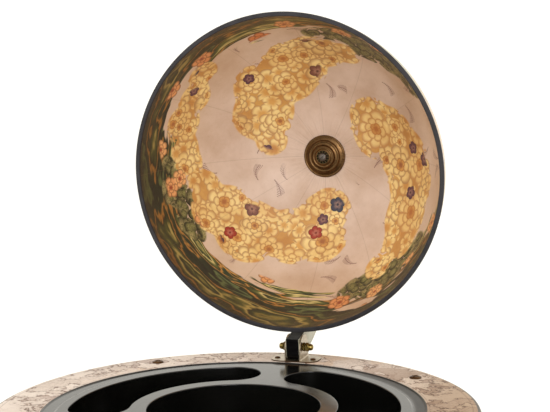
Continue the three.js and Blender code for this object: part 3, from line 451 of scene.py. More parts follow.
def lining_art():
    """The lid's printed lining: garlands of gold blossoms, dark groves and a meadow of brush
    strokes along the rim, darkened there by painted shade, with fern sprigs on a cream-pink
    ground with gore seams."""
    finish = Finish("lining_print", coat=0.2, coat_roughness=0.28, specular=0.32)
    raw = finish.attribute("globe_place", "Vector")
    spot = finish.warped(raw, 60, 0.0022, 4)
    garland, leaves = finish.attribute("garland"), finish.attribute("leaves")
    meadow, pole, seam = finish.attribute("meadow"), finish.attribute("pole_reach"), finish.attribute("seam")
    soft = finish.noise(raw, 26, 6, 0.62)
    fleck = finish.noise(raw, 260, 4, 0.7)

    # Ground
    wash = finish.noise(raw, 13, 5, 0.6)
    colour = finish.mix(finish.step(wash, 0.34, 0.66), (216, 190, 173), (200, 171, 150))
    colour = finish.mix(finish.step(pole, 0.12, 0.25, 0.0, 0.5), colour, (206, 172, 138))
    colour = finish.mix(finish.step(fleck, 0.56, 0.74, 0, 0.22), colour, (178, 138, 108))

    # Fern sprigs, drawn in thin brown lines
    _, _, size, chance, u, v, near = flower_field(finish, raw, 0.040, 2.17)
    lean = finish.times(size, 6.28)
    cos, sin = finish.maths("COSINE", lean), finish.maths("SINE", lean)
    along = finish.plus(finish.times(u, cos), finish.times(v, sin))
    beside = finish.minus(finish.times(v, cos), finish.times(u, sin))
    beside = finish.plus(beside, finish.times(finish.times(along, along), 26.0))
    off = finish.maths("ABSOLUTE", beside)
    slant = finish.minus(along, finish.times(off, 0.9))
    frond = finish.maths("PINGPONG", slant, 0.0013)
    taper = finish.step(along, -0.012, 0.012, 0.0062, 0.0008)
    within = finish.step(finish.minus(off, taper), 0.0004, -0.0002)
    frond = finish.times(finish.step(frond, 0.0007, 0.0003), within)
    drawn = finish.maths("MAXIMUM", frond, finish.step(off, 0.0008, 0.0003))
    drawn = finish.times(drawn, finish.step(finish.maths("ABSOLUTE", along), 0.0125, 0.0115))
    drawn = finish.times(drawn, finish.times(near, finish.maths("GREATER_THAN", chance, 0.2)))
    clear = finish.times(finish.step(pole, 0.055, 0.07), finish.step(meadow, -0.004, -0.012))
    colour = finish.mix(finish.times(finish.times(drawn, clear), 0.8), colour,
                        (122, 82, 74))

    # Meadow: long and fine strokes that run round the globe, darkened at the rim by painted shade
    x, y, _ = finish.parts(finish.warped(raw, 9, 0.006))
    bent = finish.joined(x, y, finish.reach(x, y))
    strokes = finish.noise(finish.stretched(bent, (6, 6, 118)), 1, 4, 0.5)
    fine = finish.noise(finish.stretched(bent, (30, 30, 420)), 1, 3, 0.6)
    patches = finish.noise(finish.stretched(raw, (9, 9, 40)), 1, 2, 0.5)
    mixed = finish.plus(finish.times(strokes, 0.75), finish.times(patches, 0.25))
    mixed = finish.plus(mixed, finish.times(finish.minus(fine, 0.5), 0.05))
    grass = finish.ramp(mixed, (0.34, 12, 14, 9), (0.40, 24, 40, 24), (0.425, 120, 136, 88),
                                (0.442, 12, 18, 11), (0.486, 38, 60, 36), (0.498, 224, 158, 78),
                                (0.509, 22, 36, 20), (0.540, 98, 104, 50), (0.562, 238, 214, 142),
                                (0.580, 20, 34, 20), (0.610, 66, 82, 44), (0.634, 176, 160, 92),
                                (0.652, 28, 32, 18), (0.72, 16, 20, 11))
    # Painted shade: the strokes darken towards the rim, most in the last few centimetres.
    grass = finish.mix(finish.step(pole, 0.272, 0.304, 0.0, 0.5), grass, (60, 50, 28))
    grass = finish.mix(finish.step(pole, 0.210, 0.27), grass, (182, 172, 142), "MULTIPLY")
    edge = finish.plus(meadow, finish.times(finish.minus(strokes, 0.5), 0.14))
    colour = finish.mix(finish.step(edge, -0.0015, 0.002, 0, 0.97), colour, grass)

    # Groves: round crowns, lit on their upper side
    for size, seed, reach, light, dark in ((0.019, 0.31, 0.0, (164, 148, 96), (44, 42, 26)),
                                           (0.013, 0.73, 0.005, (136, 128, 76), (34, 34, 20))):
        share, _, chance, other, _, v, _ = flower_field(finish, spot, size, seed)
        zone = finish.step(finish.plus(leaves, finish.times(chance, 0.006)), reach, reach + 0.003)
        lit = finish.plus(share, finish.times(v, -0.5 / size))
        crown = finish.mix(finish.step(lit, 0.2, 1.15), light, dark)
        crown = finish.mix(finish.step(finish.noise(raw, 520, 3, 0.6), 0.5, 0.62, 0.0, 0.6), crown, dark)
        crown = finish.mix(finish.times(other, 0.3), crown, (84, 64, 50))
        colour = finish.mix(finish.times(finish.step(share, 1.12, 1.0), zone), colour, crown)

    # Garlands: beds of leaves in gold under large blossoms
    warm = finish.step(soft, 0.36, 0.64)
    gold = finish.mix(warm, (208, 158, 88), (190, 134, 72))
    ragged = finish.times(finish.minus(finish.cells(spot, 60), 0.5), -0.018)
    bed = finish.step(finish.plus(garland, ragged), -0.0008, 0.0012)
    colour = finish.mix(bed, colour, gold)
    deep = finish.mix(warm, (214, 160, 88), (194, 134, 70))
    pale = finish.mix(warm, (238, 208, 142), (224, 184, 116))
    layers = (0.026, 5, 0.12, -0.003), (0.034, 6, 0.47, 0.001), (0.046, 7, 0.88, 0.006)
    for size, count, seed, reach in layers:
        share, turn, _, other, _, _, near = flower_field(finish, spot, size, seed)
        zone = finish.step(finish.minus(garland, reach), -0.003, 0.0)
        if count > 5:
            zone = finish.times(zone, near)
        brown = finish.mix(other, (178, 108, 54), (152, 94, 58))
        colour = petals(finish, colour, share, turn, count, 0.0, 1.0, zone, (deep, pale, brown))
        if count > 5:
            colour = petals(finish, colour, share, turn, count - 1, 0.8, 0.62, zone, (deep, pale, brown))
            colour = petals(finish, colour, share, turn, count - 3, 1.9, 0.32, zone, (brown, deep, brown))

    # Darker single blossoms: plum, brick and slate in the garlands, orange along the meadow
    share, turn, chance, _, _, _, near = flower_field(finish, spot, 0.050, 1.31)
    zone = finish.times(finish.step(garland, 0.002, 0.006), near)
    kind = finish.ramp(chance, (0.0, 96, 58, 66), (0.4, 158, 54, 38), (0.7, 58, 56, 72),
                                (0.85, 122, 74, 60), kind="CONSTANT")
    dusk = finish.mix(0.45, kind, (30, 22, 24))
    bright = finish.mix(0.35, kind, (220, 166, 134))
    colour = petals(finish, colour, share, turn, 5, 0.0, 0.36, zone, (bright, kind, dusk))
    colour = petals(finish, colour, share, turn, 3, 1.1, 0.15, zone, (dusk, bright, kind))
    share, turn, chance, _, _, _, near = flower_field(finish, spot, 0.046, 3.07)
    zone = finish.times(finish.step(meadow, -0.014, -0.010), finish.step(meadow, 0.030, 0.024))
    zone = finish.times(zone, near)
    orange = finish.mix(chance, (230, 172, 112), (206, 122, 72))
    wine = (112, 58, 36)
    colour = petals(finish, colour, share, turn, 6, 0.4, 0.60, zone, ((176, 92, 52), orange, wine))
    colour = petals(finish, colour, share, turn, 4, 1.5, 0.32, zone, ((150, 70, 44), orange, wine))

    # Rays round the pole fitting, seams and age
    x, y, _ = finish.parts(raw)
    turn = finish.maths("ARCTAN2", y, x)
    rays = finish.maths("PINGPONG", finish.times(turn, 18 / math.pi), 0.5)
    rays = finish.times(finish.step(rays, 0.44, 0.5), finish.step(pole, 0.062, 0.04))
    colour = finish.mix(finish.times(rays, 0.22), colour, (160, 118, 92))
    line = finish.step(seam, 0.0006, 0.0002)
    colour = finish.mix(finish.times(line, 0.22), colour, (120, 88, 66))
    old = finish.step(finish.noise(raw, 7, 6, 0.65), 0.42, 0.7, 0, 0.3)
    colour = finish.mix(old, colour, (196, 160, 118), "MULTIPLY")
    creases = finish.noise(finish.joined(finish.times(turn, 5.0), finish.times(pole, 14.0),
                                         0.0), 1.6, 3, 0.5)
    crease = finish.times(creases, finish.step(pole, 0.10, 0.03))
    paper = finish.bump(fleck, 0.06, 0.0003)
    folded = finish.bump(crease, 0.5, 0.004, finish.bump(line, 0.25, 0.0004, paper))
    return finish.done(colour, finish.step(fleck, 0.3, 0.7, 0.42, 0.56), folded)


def floor_finish():
    """Plain pale studio floor."""
    finish = Finish("pale_floor", roughness=0.9)
    shade = finish.noise(finish.place(), 3, 3, 0.5)
    return finish.done(finish.mix(shade, (252, 252, 252), (255, 255, 255)))


black_board = dark_board("black_board", (5, 4, 5), (11, 10, 10), (44, 39, 37), 0.1)
ring_board = dark_board("ring_edge_dark", (52, 46, 41), (80, 71, 63), (112, 100, 88), 0.4)
rim_dark = rim_finish()
tray_black = tray_gloss()
stand_wood = dark_wood("stand_wood")
shelf_wood = dark_wood("shelf_wood", (9, 34, 34))
ring_print = ring_chart()
globe_print = globe_chart()
scale_print = meridian_scale()
lining_print = lining_art()
wheel_black = wheel_finish()
bracket_steel = metal("bracket_steel", (184, 172, 152), (118, 92, 66), 0.32, 0.3)
plain_steel = metal("plain_steel", (150, 148, 142), (80, 74, 66), 0.3, 0.3)
old_brass = metal("fastener_brass", (146, 126, 72), (42, 32, 14), 0.26, 0.65)
dark_brass = metal("screw_brass", (92, 66, 42), (24, 15, 9), 0.34, 0.6)
bronze = metal("antique_bronze", (112, 84, 54), (30, 19, 10), 0.34, 0.7)
washer_bronze = metal("washer_bronze", (98, 86, 56), (36, 28, 16), 0.34, 0.4)
# Near-black finish for the star washer's disc: painted shade in the gaps between its teeth.
washer_recess = metal("washer_recess", (40, 33, 26), (16, 12, 9), 0.5, 0.4)
dull_steel = metal("dull_steel", (116, 108, 102), (48, 43, 40), 0.42, 0.4)
bright_brass = metal("fitting_brass", (188, 152, 86), (104, 76, 38), 0.24, 0.3)


# Shape trees

def shape_tree(name, sizes):
    """An empty geometry tree with named size inputs."""
    tree = bpy.data.node_groups.new(name, "GeometryNodeTree")
    tree.interface.new_socket("Geometry", in_out="INPUT", socket_type="NodeSocketGeometry")
    for label, kind, value in sizes:
        socket = tree.interface.new_socket(label, in_out="INPUT", socket_type="NodeSocket" + kind)
        if value is not None:
            socket.default_value = value
    tree.interface.new_socket("Geometry", in_out="OUTPUT", socket_type="NodeSocketGeometry")
    shapes = Tree(tree)
    return shapes, shapes.node("NodeGroupInput").outputs, shapes.node("NodeGroupOutput")


def turning_tree():
    """Turns a chain of edges, drawn in x (reach) and y (height), about the upright axis."""
    shapes, given, end = shape_tree("turned_form", [("Sides", "Int", 96), ("Weld", "Float", 0.00001),
                                                    ("Finish", "Material", None)])
    line = shapes.node("GeometryNodeMeshToCurve", {0: given["Geometry"]})
    circle = shapes.node("GeometryNodeCurvePrimitiveCircle", {"Resolution": given["Sides"], "Radius": 1.0})
    swept = shapes.node("GeometryNodeCurveToMesh", {0: circle.outputs[0], 1: line.outputs[0]})
    welded = shapes.node("GeometryNodeMergeByDistance", {0: swept.outputs[0], "Distance": given["Weld"]})
    solid = shapes.node("GeometryNodeRealizeInstances", {0: welded.outputs[0]})
    painted = shapes.node("GeometryNodeSetMaterial", {0: solid.outputs[0], "Material": given["Finish"]})
    shapes.feed(end.inputs[0], painted.outputs[0])
    return shapes.tree


def circle_tree():
    """Copies of the object's own mesh on a circle about the upright axis, each turned with it."""
    shapes, given, end = shape_tree("copies_on_circle", [
        ("Count", "Int", 4), ("Circle radius", "Float", 0.1), ("First angle", "Float", 0.0),
        ("Finish", "Material", None)])
    points = shapes.node("GeometryNodePoints", {"Count": given["Count"]})
    index = shapes.node("GeometryNodeInputIndex").outputs[0]
    turn = shapes.maths("DIVIDE", shapes.times(index, 2 * math.pi), given["Count"])
    angle = shapes.plus(turn, given["First angle"])
    x = shapes.times(shapes.maths("COSINE", angle), given["Circle radius"])
    y = shapes.times(shapes.maths("SINE", angle), given["Circle radius"])
    placed = shapes.node("GeometryNodeSetPosition", {0: points.outputs[0], "Position": shapes.joined(x, y)})
    copies = shapes.node("GeometryNodeInstanceOnPoints", {
        "Points": placed.outputs[0], "Instance": given["Geometry"],
        "Rotation": shapes.joined(0.0, 0.0, angle)})
    solid = shapes.node("GeometryNodeRealizeInstances", {0: copies.outputs[0]})
    painted = shapes.node("GeometryNodeSetMaterial", {0: solid.outputs[0], "Material": given["Finish"]})
    shapes.feed(end.inputs[0], painted.outputs[0])
    return shapes.tree


turned_form = turning_tree()
copies_on_circle = circle_tree()


def raw_object(name, points, faces=(), edges=()):
    """A mesh object from plain lists."""
    mesh = bpy.data.meshes.new(name)
    mesh.from_pydata([tuple(p) for p in points], list(edges), list(faces))
    made = bpy.data.objects.new(name, mesh)
    bpy.context.scene.collection.objects.link(made)
    return made


def grown(thing, tree, inputs):
    """Runs a shape tree on an object and returns the plain mesh that it makes."""
    modifier = thing.modifiers.new(tree.name, "NODES")
    modifier.node_group = tree
    for item in tree.interface.items_tree:
        if item.item_type == "SOCKET" and item.in_out == "INPUT" and item.name in inputs:
            modifier[item.identifier] = inputs[item.name]
    bpy.context.view_layer.update()
    evaluated = thing.evaluated_get(bpy.context.evaluated_depsgraph_get())
    mesh = bpy.data.meshes.new_from_object(evaluated)
    bpy.data.objects.remove(thing)
    return mesh


def outward(mesh):
    """Merges doubles and points every face outwards."""
    work = bmesh.new()
    work.from_mesh(mesh)
    bmesh.ops.remove_doubles(work, verts=work.verts, dist=0.002 * mm)
    bmesh.ops.recalc_face_normals(work, faces=work.faces)
    work.to_mesh(mesh)
    work.free()
    return mesh


def finished(name, mesh, body, nodes, material, smooth_angle=35, place=None):
    """A finished piece: placed in its mesh, shaded, riding on its body."""
    if place is not None:
        mesh.transform(place)
    mesh.materials.clear()
    mesh.materials.append(material)
    mesh.name = name
    piece = bpy.data.objects.new(name, mesh)
    bpy.context.scene.collection.objects.link(piece)
    mesh.shade_smooth()
    mesh.set_sharp_from_angle(angle=math.radians(smooth_angle))
    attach(piece, body)
    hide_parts(*nodes)
    return piece


def second_finish(piece, material, numbers):
    """Gives some of a piece's faces another finish."""
    piece.data.materials.append(material)
    for number in numbers:
        piece.data.polygons[number].material_index = 1


def rounded(points, radius, steps=4, closed=False):
    """A chain of points with its corners rounded, by no more than half of each side."""
    corners = [Vector(p) for p in points]
    count = len(corners)
    if not closed:
        result = [corners[0]]
        middle = range(1, count - 1)
    else:
        result = []
        middle = range(count)
    for i in middle:
        here, before, after = corners[i], corners[i - 1], corners[(i + 1) % count]
        back, ahead = before - here, after - here
        reach = min(radius, back.length * 0.499, ahead.length * 0.499)
        start, end = here + back.normalized() * reach, here + ahead.normalized() * reach
        for step in range(steps + 1):
            share = step / steps
            result.append(start * (1 - share) ** 2 + here * 2 * share * (1 - share) + end * share ** 2)
    if not closed:
        result.append(corners[-1])
    return [tuple(p) for p in result]


def turned(profile, sides=96, closed=False):
    """The mesh of a profile of (reach, height) turned about the upright axis."""
    points = [(reach - 1.0, -height, 0.0) for reach, height in profile]
    edges = [(i, i + 1) for i in range(len(points) - 1)]
    if closed:
        edges.append((len(points) - 1, 0))
    mesh = grown(raw_object("profile", points, edges=edges), turned_form, {"Sides": sides})
    return outward(mesh)


def joined_meshes(*meshes):
    """One mesh of several."""
    work = bmesh.new()
    for mesh in meshes:
        work.from_mesh(mesh)
    mesh = bpy.data.meshes.new("joined")
    work.to_mesh(mesh)
    work.free()
    return mesh


def around(mesh, count, radius, first=0.0):
    """Copies of a mesh on a circle."""
    template = bpy.data.objects.new("template", mesh)
    bpy.context.scene.collection.objects.link(template)
    return grown(template, copies_on_circle, {"Count": count, "Circle radius": radius, "First angle": first})


def at_legs(mesh):
    return around(mesh, leg_count, leg_circle, leg_first)


def numbered(name):
    """The names of a piece's copies at the legs."""
    return [f"{name}_{i + 1}" for i in range(leg_count)]


def arc(centre_x, centre_y, radius, start, end, steps):
    return [(centre_x + radius * math.cos(start + (end - start) * i / steps),
             centre_y + radius * math.sin(start + (end - start) * i / steps)) for i in range(steps + 1)]


def box(left, low, right, high):
    """The corners of an upright rectangle."""
    return [(left, low), (right, low), (right, high), (left, high)]


def moved(mesh, x=0.0, y=0.0, z=0.0):
    mesh.transform(Matrix.Translation((x, y, z)))
    return mesh


def bevelled(piece, width, segments):
    """Softens a piece's sharp edges."""
    modifier = piece.modifiers.new("soft_edges", "BEVEL")
    modifier.width, modifier.segments, modifier.limit_method = width, segments, "ANGLE"
    modifier.angle_limit = math.radians(40)
    modifier.harden_normals = False
    return piece


# Horizon ring

def make_ring():
    edge = 4.2 * mm
    board = [(ring_bore, ring_bottom), (ring_outer, ring_bottom), (ring_outer, ring_top - print_wall),
             (ring_inner, ring_top - print_wall), (ring_inner, bowl_centre), (ring_bore, bowl_centre)]
    outline = []
    for i, corner in enumerate(board):
        before, after = board[i - 1], board[(i + 1) % len(board)]
        outline += rounded([before, corner, after], edge if i in (1, 2) else 0.3 * mm, 5)[1:-1]
    finished("ring_board", turned(outline, 160, True), "stand", ["horizon_ring"], ring_board)
    low, high = ring_top - print_wall, ring_top
    sheet = rounded([(ring_inner + print_inset, low), (ring_inner + print_inset, high),
                     (ring_outer - edge, high), (ring_outer - edge, low)], 0.2 * mm, 2, True)
    finished("ring_sheet", turned(sheet, 160, True), "stand", ["horizon_print"], ring_print)


# Bottle tray

def glass_well_outline(inset, span):
    """One long curved well, about the upright axis, centred towards +X."""
    middle, half = (glass_well_outer + glass_well_inner) / 2, (glass_well_outer - glass_well_inner) / 2
    reach = span / 2 - math.asin(half / middle)
    width = half - inset
    end = (middle * math.cos(reach), middle * math.sin(reach))
    return (arc(0, 0, middle + width, -reach, reach, 48)
            + arc(*end, width, reach, reach + math.pi, 24)[1:]
            + arc(0, 0, middle - width, reach, -reach, 32)[1:]
            + arc(end[0], -end[1], width, math.pi - reach, 2 * math.pi - reach, 24)[1:-1])


def well_sections(depth, draft):
    """Insets and depths down a well's wall, from the flat over its rolled lip to its foot."""
    sections = [(-well_lip - 1.2 * mm, 0.0)]
    for i in range(9):
        turn = math.pi / 2 * i / 8
        sections.append((-well_lip * (1 - math.sin(turn)), well_lip * (1 - math.cos(turn))))
    for share in (0.25, 0.5, 0.75):
        drop = well_lip + (depth - well_foot - well_lip) * share
        sections.append((draft * share, drop))
    for i in range(9):
        turn = math.pi / 2 * i / 8
        sections.append((draft + well_foot * (1 - math.cos(turn)), depth - well_foot * (1 - math.sin(turn))))
    sections.append((draft + well_foot + 1.5 * mm, depth))
    return sections


def make_tray():
    work = bmesh.new()

    def loop(points, height):
        return [work.verts.new((x, y, height)) for x, y in points]

    def strip(upper, lower):
        for i in range(len(upper)):
            j = (i + 1) % len(upper)
            work.faces.new((upper[i], upper[j], lower[j], lower[i]))

    def circle(radius):
        return arc(0, 0, radius, 0, 2 * math.pi, 144)[:-1]

    rims = []
    wells = [(bottle_well_floor, bottle_well_draft, lambda inset: circle(bottle_well_radius - inset))]
    for span, place in ((side_well_span, math.pi / 2 - side_well_place),
                        (side_well_span, math.pi / 2 + side_well_place), (front_well_span, -math.pi / 2)):
        cos, sin = math.cos(place + tray_turn), math.sin(place + tray_turn)
        wells.append((glass_well_floor, glass_well_draft, lambda inset, cos=cos, sin=sin, span=span: [
            (x * cos - y * sin, x * sin + y * cos) for x, y in glass_well_outline(inset, span)]))
    for floor, draft, outline in wells:
        upper = None
        for inset, drop in well_sections(tray_flat - floor, draft):
            lower = loop(outline(inset), tray_flat - drop)
            if upper:
                strip(upper, lower)
            else:
                rims.append(lower)
            upper = lower
        work.faces.new(upper)
    end = ring_inner - fit_gap
    edge = rounded([(seat_radius - seat_slope - 4 * mm, tray_flat), (seat_radius - seat_slope, tray_flat),
                    (seat_radius, seat_floor), (end - 1.3 * mm, seat_floor), (end, seat_floor + 0.5 * mm),
                    (end, seat_floor + 1.1 * mm)], 0.9 * mm, 4)
    upper = None
    for radius, height in reversed(edge):
        lower = loop(circle(radius), height)
        if upper:
            strip(upper, lower)
        upper = lower
    rims.append(upper)
    edges = []
    for rim in rims:
        for i, corner in enumerate(rim):
            other = rim[(i + 1) % len(rim)]
            edges.append(work.edges.get((corner, other)) or work.edges.new((corner, other)))
    bmesh.ops.triangle_fill(work, use_beauty=True, use_dissolve=False, edges=edges, normal=(0, 0, 1))
    bmesh.ops.recalc_face_normals(work, faces=work.faces)
    flat = max(work.faces, key=lambda face: face.calc_area())
    if flat.normal.z < 0:
        bmesh.ops.reverse_faces(work, faces=work.faces)
    mesh = bpy.data.meshes.new("tray")
    work.to_mesh(mesh)
    work.free()
    piece = finished("tray_moulding", mesh, "stand", ["bottle_tray"], tray_black, 50)
    wall = piece.modifiers.new("wall", "SOLIDIFY")
    wall.thickness, wall.offset, wall.use_even_offset = tray_wall * 0.7, -1, False
    weights = piece.modifiers.new("even_shading", "WEIGHTED_NORMAL")
    weights.keep_sharp = True


# Globe shells

def onto_sphere(radius, reach):
    return math.sqrt(radius ** 2 - reach ** 2)


def dome_profile(outer, inner, low, steps=72):
    """A dome's wall between two radii; it is a shallow cone where the pole fitting seats."""
    def wall(radius):
        bend = arc(0, 0, radius, math.asin(low / radius), math.acos(fitting_radius / radius), steps)
        return bend + [(pole_hole, onto_sphere(radius, pole_hole))]
    return wall(outer) + wall(inner)[::-1]


def keep_place(mesh):
    """Stores each point's place in its own frame, before the mesh is placed."""
    count = len(mesh.vertices)
    places = np.empty(count * 3, np.float32)
    mesh.vertices.foreach_get("co", places)
    mesh.attributes.new("globe_place", "FLOAT_VECTOR", "POINT").data.foreach_set("vector", places)
    return places.reshape(-1, 3)


def blob_distance(places, blobs):
    """How far inside the nearest of some round patches each place lies, in metres."""
    best = np.full(len(places), -1.0)
    for east, from_pole, radius in blobs:
        reach, rise = math.sin(from_pole / lining_inner), math.cos(from_pole / lining_inner)
        centre = lining_inner * np.array([math.cos(east) * reach, math.sin(east) * reach, rise])
        inside = radius - np.linalg.norm(places - centre, axis=1)
        share = np.clip(0.5 + (best - inside) / 0.012, 0, 1)
        best = inside * (1 - share) + best * share + 0.012 * share * (1 - share) / 2
    return best


def sweep(draw, start, end, width, count, wander=0.1):
    """Round patches along a sweep from one (east degrees, distance from the pole) to another."""
    blobs = []
    for i in range(count):
        share = i / (count - 1)
        east = start[0] + (end[0] - start[0]) * share + draw.normal(0, 1) * wander * 40
        reach = start[1] + (end[1] - start[1]) * share + draw.normal(0, 1) * wander * 60 * mm
        bulge = 0.65 + 0.55 * math.sin(math.pi * share)
        blobs.append((math.radians(east), reach, width * bulge * draw.uniform(0.75, 1.2)))
    return blobs


def paint_zones(mesh, places):
    """Where the lining's garlands, leaves and meadow lie, and its seams."""
    draw = np.random.default_rng(51)
    gold = (sweep(draw, (-158, 84 * mm), (-70, 186 * mm), 33 * mm, 12)
            + sweep(draw, (-42, 84 * mm), (48, 196 * mm), 35 * mm, 13)
            + sweep(draw, (76, 82 * mm), (170, 190 * mm), 34 * mm, 13)
            + sweep(draw, (184, 200 * mm), (222, 232 * mm), 24 * mm, 5))
    green = (sweep(draw, (-84, 214 * mm), (-36, 228 * mm), 22 * mm, 8, 0.06)
             + sweep(draw, (34, 226 * mm), (74, 216 * mm), 20 * mm, 7, 0.06)
             + sweep(draw, (150, 226 * mm), (182, 236 * mm), 20 * mm, 6, 0.06))
    east = np.arctan2(places[:, 1], places[:, 0])
    from_pole = lining_inner * np.arccos(np.clip(places[:, 2] / np.linalg.norm(places, axis=1), -1, 1))
    limit = (236 + 13 * np.sin(east + 2.0) + 9 * np.sin(2 * east + 0.6) + 6 * np.sin(5 * east + 2.1)) * mm
    gores = 12
    off = np.abs((east * gores / (2 * math.pi) + 0.5) % 1 - 0.5) * 2 * math.pi / gores
    zones = {"garland": blob_distance(places, gold), "leaves": blob_distance(places, green),
             "meadow": from_pole - limit, "pole_reach": from_pole,
             "seam": off * np.hypot(places[:, 0], places[:, 1])}
    for name, values in zones.items():
        mesh.attributes.new(name, "FLOAT", "POINT").data.foreach_set("value", values.astype(np.float32))


def make_globe():
    low = rim_band_height + fit_gap
    shell = turned(dome_profile(globe_radius, globe_radius - shell_wall, low), 192, True)
    keep_place(shell)
    finished("lid_outside", shell, "lid", ["lid_shell"], globe_print, 40, lid_place)

    lining = turned(dome_profile(lining_outer, lining_inner, low, 150), 300, True)
    places = keep_place(lining)
    paint_zones(lining, places)
    finished("lid_inside", lining, "lid", ["lid_lining"], lining_print, 40, lid_place)

    band_inner, band_outer = globe_radius - rim_band_width, globe_radius + rim_band_bead
    band = rounded(box(band_inner, 0, band_outer, rim_band_height), 1.2 * mm, 5, True)
    band = turned(band, 256, True)
    finished("rim_band", band, "lid", ["lid_rim_band"], rim_dark, 40, lid_place)

    wall = dome_profile(globe_radius, globe_radius - shell_wall, 0)
    flange = 2 * mm
    insert = ring_inner - fit_gap
    bowl = wall + [(globe_radius - shell_wall, -flange), (insert, -flange), (insert, 0)]
    bowl = turned(bowl, 192, True)
    keep_place(bowl)
    flip = Matrix.Translation((0, 0, bowl_centre)) @ Matrix.Scale(-1, 4, (0, 0, 1))
    bowl.transform(flip)
    outward(bowl)
    finished("lower_bowl", bowl, "stand", ["lower_globe"], globe_print, 40)


# Nuts, screws and the pole fitting

def hex_reach(flats, turn):
    """A hexagon's reach at an angle."""
    sector = math.pi / 3
    return flats / 2 / math.cos((turn % sector) - sector / 2)


def skinned(rings, closed=False):
    """A mesh over rings of as many points each. Its two ends are filled, or joined if it is closed."""
    count, sides = len(rings), len(rings[0])
    faces = []
    for r in range(count if closed else count - 1):
        low, high = r * sides, (r + 1) % count * sides
        faces += [(low + i, low + (i + 1) % sides, high + (i + 1) % sides, high + i) for i in range(sides)]
    if not closed:
        last = count * sides - 1
        faces += [tuple(range(sides)), tuple(range(last, last - sides, -1))]
    mesh = bpy.data.meshes.new("form")
    mesh.from_pydata([p for ring in rings for p in ring], [], faces)
    return outward(mesh)


head_sides = 96


def head_ring(reach, rise):
    """A ring of points about the upright axis; reach and rise are functions of the turn."""
    turns = [2 * math.pi * i / head_sides for i in range(head_sides)]
    return [(reach(t) * math.cos(t), reach(t) * math.sin(t), rise(t)) for t in turns]


def flat_ring(reach, rise):
    return head_ring(lambda turn: reach, lambda turn: rise)


def nut_mesh(flats, height, bore, dome=0.0):
    """A chamfered hexagon nut along +Z, with a domed cap if one is asked for."""
    chamfer = flats * 0.485

    def corner(turn):
        return hex_reach(flats, turn)

    def drop(turn):
        return max(0.0, corner(turn) - chamfer) * 0.58

    rings = [flat_ring(bore, 0.0), flat_ring(chamfer, 0.0), head_ring(corner, drop),
             head_ring(corner, lambda turn: height - drop(turn)), flat_ring(chamfer, height)]
    if not dome:
        return skinned(rings + [flat_ring(bore, height)], True)
    neck = flats * 0.44
    profile = rounded([(neck, height), (neck, height + dome * 0.35), (neck * 0.82, height + dome * 0.86),
                       (0.0002, height + dome)], 3 * mm, 6)
    return skinned(rings + [flat_ring(reach, rise) for reach, rise in profile])


def screw_mesh(radius, height, shank, length, slots, slot_width, slot_depth, flat_share=0.3):
    """A domed screw head on its shank, with one slot or a cross cut into the head."""
    steps, slot_turn = 26, 0.6

    def cut(reach, turn):
        """How far into a slot a place lies, from 0 to 1."""
        deepest = 0.0
        for s in range(slots):
            aside = turn - slot_turn - s * math.pi / 2
            across, along = abs(reach * math.sin(aside)), abs(reach * math.cos(aside))
            inside = min(1.0, max(0.0, (slot_width / 2 - across) / (slot_width * 0.16)))
            if slots > 1:
                inside *= min(1.0, max(0.0, (radius * 0.62 - along) / (radius * 0.1)))
            deepest = max(deepest, inside)
        return deepest

    rings = [flat_ring(shank, -length), flat_ring(shank, 0.0), flat_ring(radius, 0.0)]
    for step in range(steps):
        reach = radius * (1 - 0.99 * step / (steps - 1))
        bulge = math.sqrt(max(0.0, 1 - (reach / radius) ** 2 * 0.96))
        crown = height * (flat_share + (1 - flat_share) * bulge)
        rings.append(head_ring(lambda turn: reach, lambda turn: crown - cut(reach, turn) * slot_depth))
    return skinned(rings)


